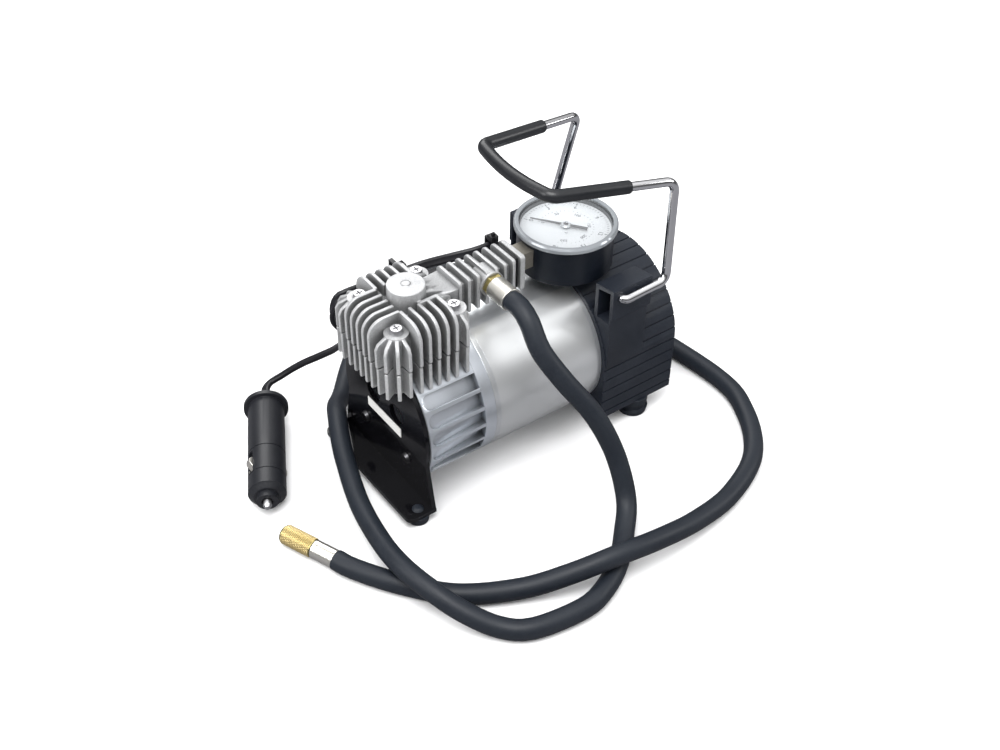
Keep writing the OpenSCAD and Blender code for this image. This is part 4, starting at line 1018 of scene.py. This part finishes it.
@dataclass
class Motor:
    """The motor's can with its bare foil, and the armature set inside it."""

    foil_from: float = X_CAN + 3.0
    foil_to: float = X_CAP - 2.5
    foil_low: float = 195.0
    foil_high: float = 50.0
    foil_t: float = 0.09
    foil_sunk: float = 0.05
    foil_steps: int = 60

    def make_foil(self) -> bpy.types.Object:
        """Wraps the thin foil round the can's hose side.

        Returns:
            The foil.
        """
        bm = bmesh.new()
        low, high = self.foil_low - 360 - 90, self.foil_high - 90
        inner, outer = CAN_R - self.foil_sunk, CAN_R + self.foil_t
        rows = []
        for k in range(self.foil_steps + 1):
            a = math.radians(low + (high - low) * k / self.foil_steps)
            row = []
            for r, x in ((inner, self.foil_from), (outer, self.foil_from),
                         (outer, self.foil_to), (inner, self.foil_to)):
                row.append(bm.verts.new(mm(x, r * math.cos(a), AXIS_Z + r * math.sin(a))))
            rows.append(row)
        for here, there in zip(rows, rows[1:]):
            for i in range(4):
                j = (i + 1) % 4
                bm.faces.new((here[i], here[j], there[j], there[i]))
        bm.faces.new(rows[0])
        bm.faces.new(rows[-1][::-1])
        bmesh.ops.recalc_face_normals(bm, faces=bm.faces)
        return add_piece("bare_foil", mesh_of(bm, "bare_foil"), FOIL, "machine")

    def build(self) -> list[bpy.types.Object]:
        """Dresses the can and the motor's inner works."""
        looks = {
            "motor_can": (SILVER_CAN, Edge.SOFT), "magnets": (DARK_IRON, Edge.FINE),
            "armature_core": (DARK_IRON, Edge.CRISP), "armature_windings": (COPPER, Edge.CRISP),
            "commutator": (COPPER, Edge.CRISP), "motor_shaft": (STEEL, Edge.BROKEN),
            "brushes": (DARK_IRON, Edge.FINE), "brush_holder": (PAPER, Edge.FINE),
            "rear_bell": (DIE_CAST, Edge.BROKEN), "cooling_fan": (CAP_BLACK, Edge.FINE)}
        pieces = [soften(node, *look) for node, look in looks.items()]
        pieces.append(self.make_foil())
        return pieces


@dataclass
class EndCap:
    """The grooved cap with its ears, screws, feet, switch and lead gland."""

    def build(self) -> list[bpy.types.Object]:
        """Dresses the cap and what is fixed to it."""
        return [soften("end_cap", CAP_BLACK, Edge.FINE), soften("cap_screws", STEEL, Edge.FINE),
                soften("rear_feet", RUBBER, Edge.ROUND, 3), soften("switch_frame", BLACK_GLOSS),
                soften("switch_rocker", SWITCH_RED, Edge.SOFT),
                soften("lead_gland", RUBBER, Edge.BROKEN)]


@dataclass
class FoldingHandle:
    """The chromed wire and the soft sleeve over its crossbar."""

    wire_r: float = 2.5
    grip_r: float = 3.6
    leg_y: float = 48.8
    top: float = 165.6
    hold: float = 6.0
    elbow: Point = (34.2, 0.0, 1.0)
    shoulder: Point = (41.6, -8.4, -11.6)
    corner: Point = (-30.9, -19.5, 0.0)
    bend: float = 6.0
    pivot_bend: float = 2.7
    bow_bend: float = 120.0
    bow: float = 4.8
    grip_from: float = 0.38
    end_round: float = 0.8
    sides: int = 28

    def corners(self) -> list[Vector]:
        """The corners of one side, from the pivot to the crossbar, in millimetres.

        The elbow is given from the cap's face, the leg and the pivot, the shoulder and the
        corner from the cap's face, the leg and the top.
        """
        x, z = PIVOT
        foot, crown = Vector((X_CAP, self.leg_y, z)), Vector((X_CAP, self.leg_y, self.top))
        return [Vector((x, CAP_HALF - self.hold, z)), Vector((x, self.leg_y, z)),
                foot + Vector(self.elbow), crown + Vector(self.shoulder),
                crown + Vector(self.corner)]

    def both(self, side: list[Vector]) -> list[Vector]:
        """One side, the middle of the bowed crossbar and the other side."""
        last = side[-1]
        other = [Vector((p.x, -p.y, p.z)) for p in side]
        return other + [Vector((last.x - self.bow, 0, last.z - 1))] + side[::-1]

    def bent(self, path: list[Vector], bends: list[float], steps: int = 12) -> list[Vector]:
        """The path with its corners rounded.

        Args:
            path: Its corners, in millimetres.
            bends: The bend radius of each inner corner.
            steps: Pieces of each bend.

        Returns:
            The points, in metres.
        """
        line = [path[0]]
        for before, corner, after, r in zip(path, path[1:], path[2:], bends):
            u, w = (corner - before).normalized(), (after - corner).normalized()
            turn = u.angle(w)
            n = (w - u * u.dot(w)).normalized()
            middle = corner - u * r * math.tan(turn / 2) + n * r
            for k in range(steps + 1):
                a = turn * k / steps
                line.append(middle - n * r * math.cos(a) + u * r * math.sin(a))
        line.append(path[-1])
        return [p * MM for p in line]

    def bar(self, name: str, line: list[Vector], radius: float, finish: Finish) -> bpy.types.Mesh:
        """A round bar along a line of points."""
        path = bpy.data.meshes.new(f"{name}_path")
        path.from_pydata([tuple(p) for p in line], [(i, i + 1) for i in range(len(line) - 1)], [])
        return grow(BAR_TREE, name, finish, {"Radius": radius * MM, "Sides": self.sides},
                    start=path, smooth_deg=50)

    def build(self) -> list[bpy.types.Object]:
        """Bends the wire and slips the sleeve over it."""
        side = self.corners()
        bends = [self.pivot_bend, self.bend, self.bend, self.bend]
        wire = self.bent(self.both(side), bends + [self.bow_bend] + bends[::-1])
        start = side[3].lerp(side[4], self.grip_from)
        grip = self.bent(self.both([start, side[4]]), [self.bend, self.bow_bend, self.bend])
        sleeve = self.bar("handle_sleeve", grip, self.grip_r, SLEEVE)
        piece = add_piece("handle_sleeve", sleeve, SLEEVE, "handle",
                          ("handle_grip",))
        edge = piece.modifiers.new("rounded ends", "BEVEL")
        edge.width, edge.segments = self.end_round * MM, 3
        edge.limit_method, edge.angle_limit = "ANGLE", math.radians(60)
        return [add_piece("chrome_wire", self.bar("chrome_wire", wire, self.wire_r, CHROME),
                          CHROME, "handle", ("handle_wire",)), piece]


@dataclass(frozen=True)
class Marks:
    """One ring of tick marks: how many, where they start, how long and how wide they are."""

    name: str
    count: int
    radius: float
    length: float
    width: float


@dataclass(frozen=True)
class Scale:
    """One ring of numbers: the numbers, the scale's full value, their radius and height."""

    numbers: tuple[int, ...]
    full: float
    radius: float
    size: float


@dataclass
class Gauge:
    """The pressure gauge: case, rim, lens, printed dial and needle."""

    zero: float = 126.0
    sweep: float = 270.0
    marks: tuple[Marks, ...] = (Marks("fine_marks", 55, 22.4, 1.1, 0.22),
                                Marks("main_marks", 7, 21.5, 2.0, 0.4),
                                Marks("inner_marks", 31, 14.7, 0.8, 0.2))
    scales: tuple[Scale, ...] = (Scale((0, 3, 6, 9, 12, 15, 18), 18.0, 19.3, 2.5),
                                 Scale((0, 50, 100, 150, 200, 250), 261.0, 12.7, 1.9))
    ink_t: float = 0.05
    letter_t: float = 0.03
    hub_r: float = 2.9
    pin_r: float = 1.4

    def ticks(self, ring: Marks) -> bpy.types.Mesh:
        """One ring of tick marks, on the dial."""
        step = -math.radians(self.sweep) / (ring.count - 1)
        values = {"Count": ring.count, "Rows": 1, "Taper": 1.0, "Length": ring.length * MM,
                  "Width": ring.width * MM, "Height": self.ink_t * MM,
                  "Radius": ring.radius * MM, "From": math.radians(self.zero), "Step": step,
                  "Foot": 0.02 * MM}
        place = Matrix.Translation(mm(GAUGE_X, 0, DIAL_TOP))
        return grow(SPACED_TREE, ring.name, INK, values, place=place)

    def number(self, value: int, radius: float, turn: float, size: float) -> bpy.types.Mesh:
        """One number of the scale, upright towards the dial's rim.

        Args:
            value: The number.
            radius: Distance of its middle from the needle's axis.
            turn: Its place on the scale, in degrees.
            size: Its height.

        Returns:
            The number's mesh, on the dial.
        """
        curve = bpy.data.curves.new(f"number_{value}", "FONT")
        curve.body = str(value)
        curve.size = size * 1.4 * MM
        curve.extrude = self.letter_t * MM
        curve.resolution_u = 3
        curve.align_x, curve.align_y = "CENTER", "CENTER"
        item = bpy.data.objects.new(curve.name, curve)
        bpy.context.scene.collection.objects.link(item)
        graph = bpy.context.evaluated_depsgraph_get()
        mesh = bpy.data.meshes.new_from_object(item.evaluated_get(graph))
        bpy.data.objects.remove(item)
        a = math.radians(turn)
        place = mm(GAUGE_X + radius * math.cos(a), radius * math.sin(a),
                   DIAL_TOP + self.letter_t)
        mesh.transform(Matrix.Translation(place) @ Matrix.Rotation(a - math.pi / 2, 4, "Z"))
        return mesh

    def make_print(self) -> bpy.types.Object:
        """Prints both scales on the dial."""
        parts = [self.ticks(ring) for ring in self.marks]
        for scale in self.scales:
            for value in scale.numbers:
                turn = self.zero - self.sweep * value / scale.full
                parts.append(self.number(value, scale.radius, turn, scale.size))
        return add_piece("dial_print", joined("dial_print", parts), INK, "machine")

    def turned(self, name: str, profile: list[tuple[float, float]], steps: int,
               finish: Finish) -> bpy.types.Object:
        """A piece turned about the needle's axis, riding on the needle.

        Args:
            name: The piece's name.
            profile: Radius and height over the needle of each point, in millimetres.
            steps: Segments round the axis.
            finish: Its finish.

        Returns:
            The piece.
        """
        bm = lathe([(r, NEEDLE_TOP + z) for r, z in profile], steps)
        bm.transform(Matrix.Translation(mm(GAUGE_X, 0, 0)))
        return add_piece(name, mesh_of(bm, name), finish, "needle")

    def build(self) -> list[bpy.types.Object]:
        """Dresses the gauge, prints its dial and sets the hub and pin on the needle."""
        looks = {
            "gauge_case": (CASE_BLACK, Edge.BROKEN), "gauge_bezel": (RIM, Edge.FINE),
            "gauge_lens": (CLEAR, Edge.CRISP), "gauge_dial": (DIAL_WHITE, Edge.CRISP),
            "gauge_needle": (NEEDLE_GREY, Edge.CRISP), "gauge_sector": (BRASS, Edge.FINE),
            "gauge_movement": (BRASS, Edge.FINE), "bourdon_tube": (BRASS, Edge.CRISP),
            "gauge_stem": (STEM, Edge.BROKEN)}
        pieces = [soften(node, *look) for node, look in looks.items()]
        pieces.append(self.make_print())
        r = self.hub_r
        pieces.append(self.turned("needle_hub", [(0.0, 0.02), (r - 0.6, 0.02), (r, -0.4),
                                                 (r, -1.0), (0.0, -1.0)], 36, HUB))
        pieces.append(self.turned("needle_pin", [(0.0, 0.12), (self.pin_r - 0.2, 0.12),
                                                 (self.pin_r, 0.0), (0.0, 0.0)], 28,
                                  NEEDLE_GREY))
        return pieces


@dataclass
class Outlet:
    """The brass fitting and ferrule at the arm, the ferrule and knurled connector at the end."""

    chuck_r: float = 5.1
    chuck_l: float = 20.0
    chuck_from: float = 14.4
    knurl_rows: int = 17
    knurl_count: int = 34
    knurl_margin: float = 1.2
    bare_end: float = 2.0
    diamond: Point = (0.42, 0.84, 0.98)
    sunk: float = 0.08

    def make_knurl(self) -> bpy.types.Object:
        """Covers the connector with small raised diamonds."""
        pitch = (self.chuck_l - self.knurl_margin - self.bare_end) / (self.knurl_rows - 1)
        length, width, height = self.diamond
        around = 2 * math.pi / self.knurl_count
        values = {"Count": self.knurl_count, "Rows": self.knurl_rows, "Taper": 0.3,
                  "Length": length * MM, "Width": width * MM, "Height": height * MM,
                  "Radius": (self.chuck_r - self.sunk) * MM, "From": 0.0, "Step": around,
                  "Row pitch": pitch * MM, "Row turn": around / 2,
                  "Foot": (self.chuck_from + self.knurl_margin) * MM, "Block turn": 0.0}
        place = (Matrix.Translation(HOSE_END * MM) @ Matrix.Rotation(HOSE_TURN, 4, "Z")
                 @ Matrix.Rotation(math.pi / 2, 4, "Y"))
        mesh = grow(SPACED_TREE, "chuck_knurl", PALE_BRASS, values, place=place)
        return add_piece("chuck_knurl", mesh, PALE_BRASS, "chuck")

    def build(self) -> list[bpy.types.Object]:
        """Dresses the fittings of the hose."""
        return [soften("outlet_fitting", BRASS, Edge.BROKEN),
                soften("hose_ferrule_in", CRIMP, Edge.SOFT),
                soften("hose_ferrule_out", CRIMP, Edge.BROKEN),
                soften("hose_chuck", BRASS, Edge.BROKEN), self.make_knurl()]


@dataclass
class CarPlug:
    """The plug of the lead with its sprung tip and contacts."""

    def build(self) -> list[bpy.types.Object]:
        """Dresses the plug."""
        return [soften("plug_body", PLUG_BLACK, Edge.BROKEN, 3), soften("plug_tip", STEEL),
                soften("plug_contact_left", CRIMP, Edge.BROKEN),
                soften("plug_contact_right", CRIMP, Edge.BROKEN)]


@dataclass
class CableTies:
    """The two ties that hold the lead on the arm and on the head."""

    def build(self) -> list[bpy.types.Object]:
        """Dresses the ties."""
        return [soften("zip_ties", NYLON, Edge.FINE)]


def main() -> None:
    """Builds everything in order and reports each piece."""
    logging.basicConfig(level=logging.INFO, format="%(name)s: %(message)s")
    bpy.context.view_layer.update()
    studio = Studio()
    studio.make_camera()
    for maker in (PumpHead, PumpHousing, FrontStand, Motor, EndCap, FoldingHandle, Gauge,
                  Outlet, CarPlug, CableTies):
        for piece in maker().build():
            LOG.info("%s: %s, %d faces", maker.__name__, piece.name, len(piece.data.polygons))
    for cord in (AirHose().build(), PowerLead().build()):
        LOG.info("cord %s: %d faces", cord.name, len(cord.data.polygons))
    studio.make_floor()
    studio.make_lights()


if __name__ == "__main__":
    main()
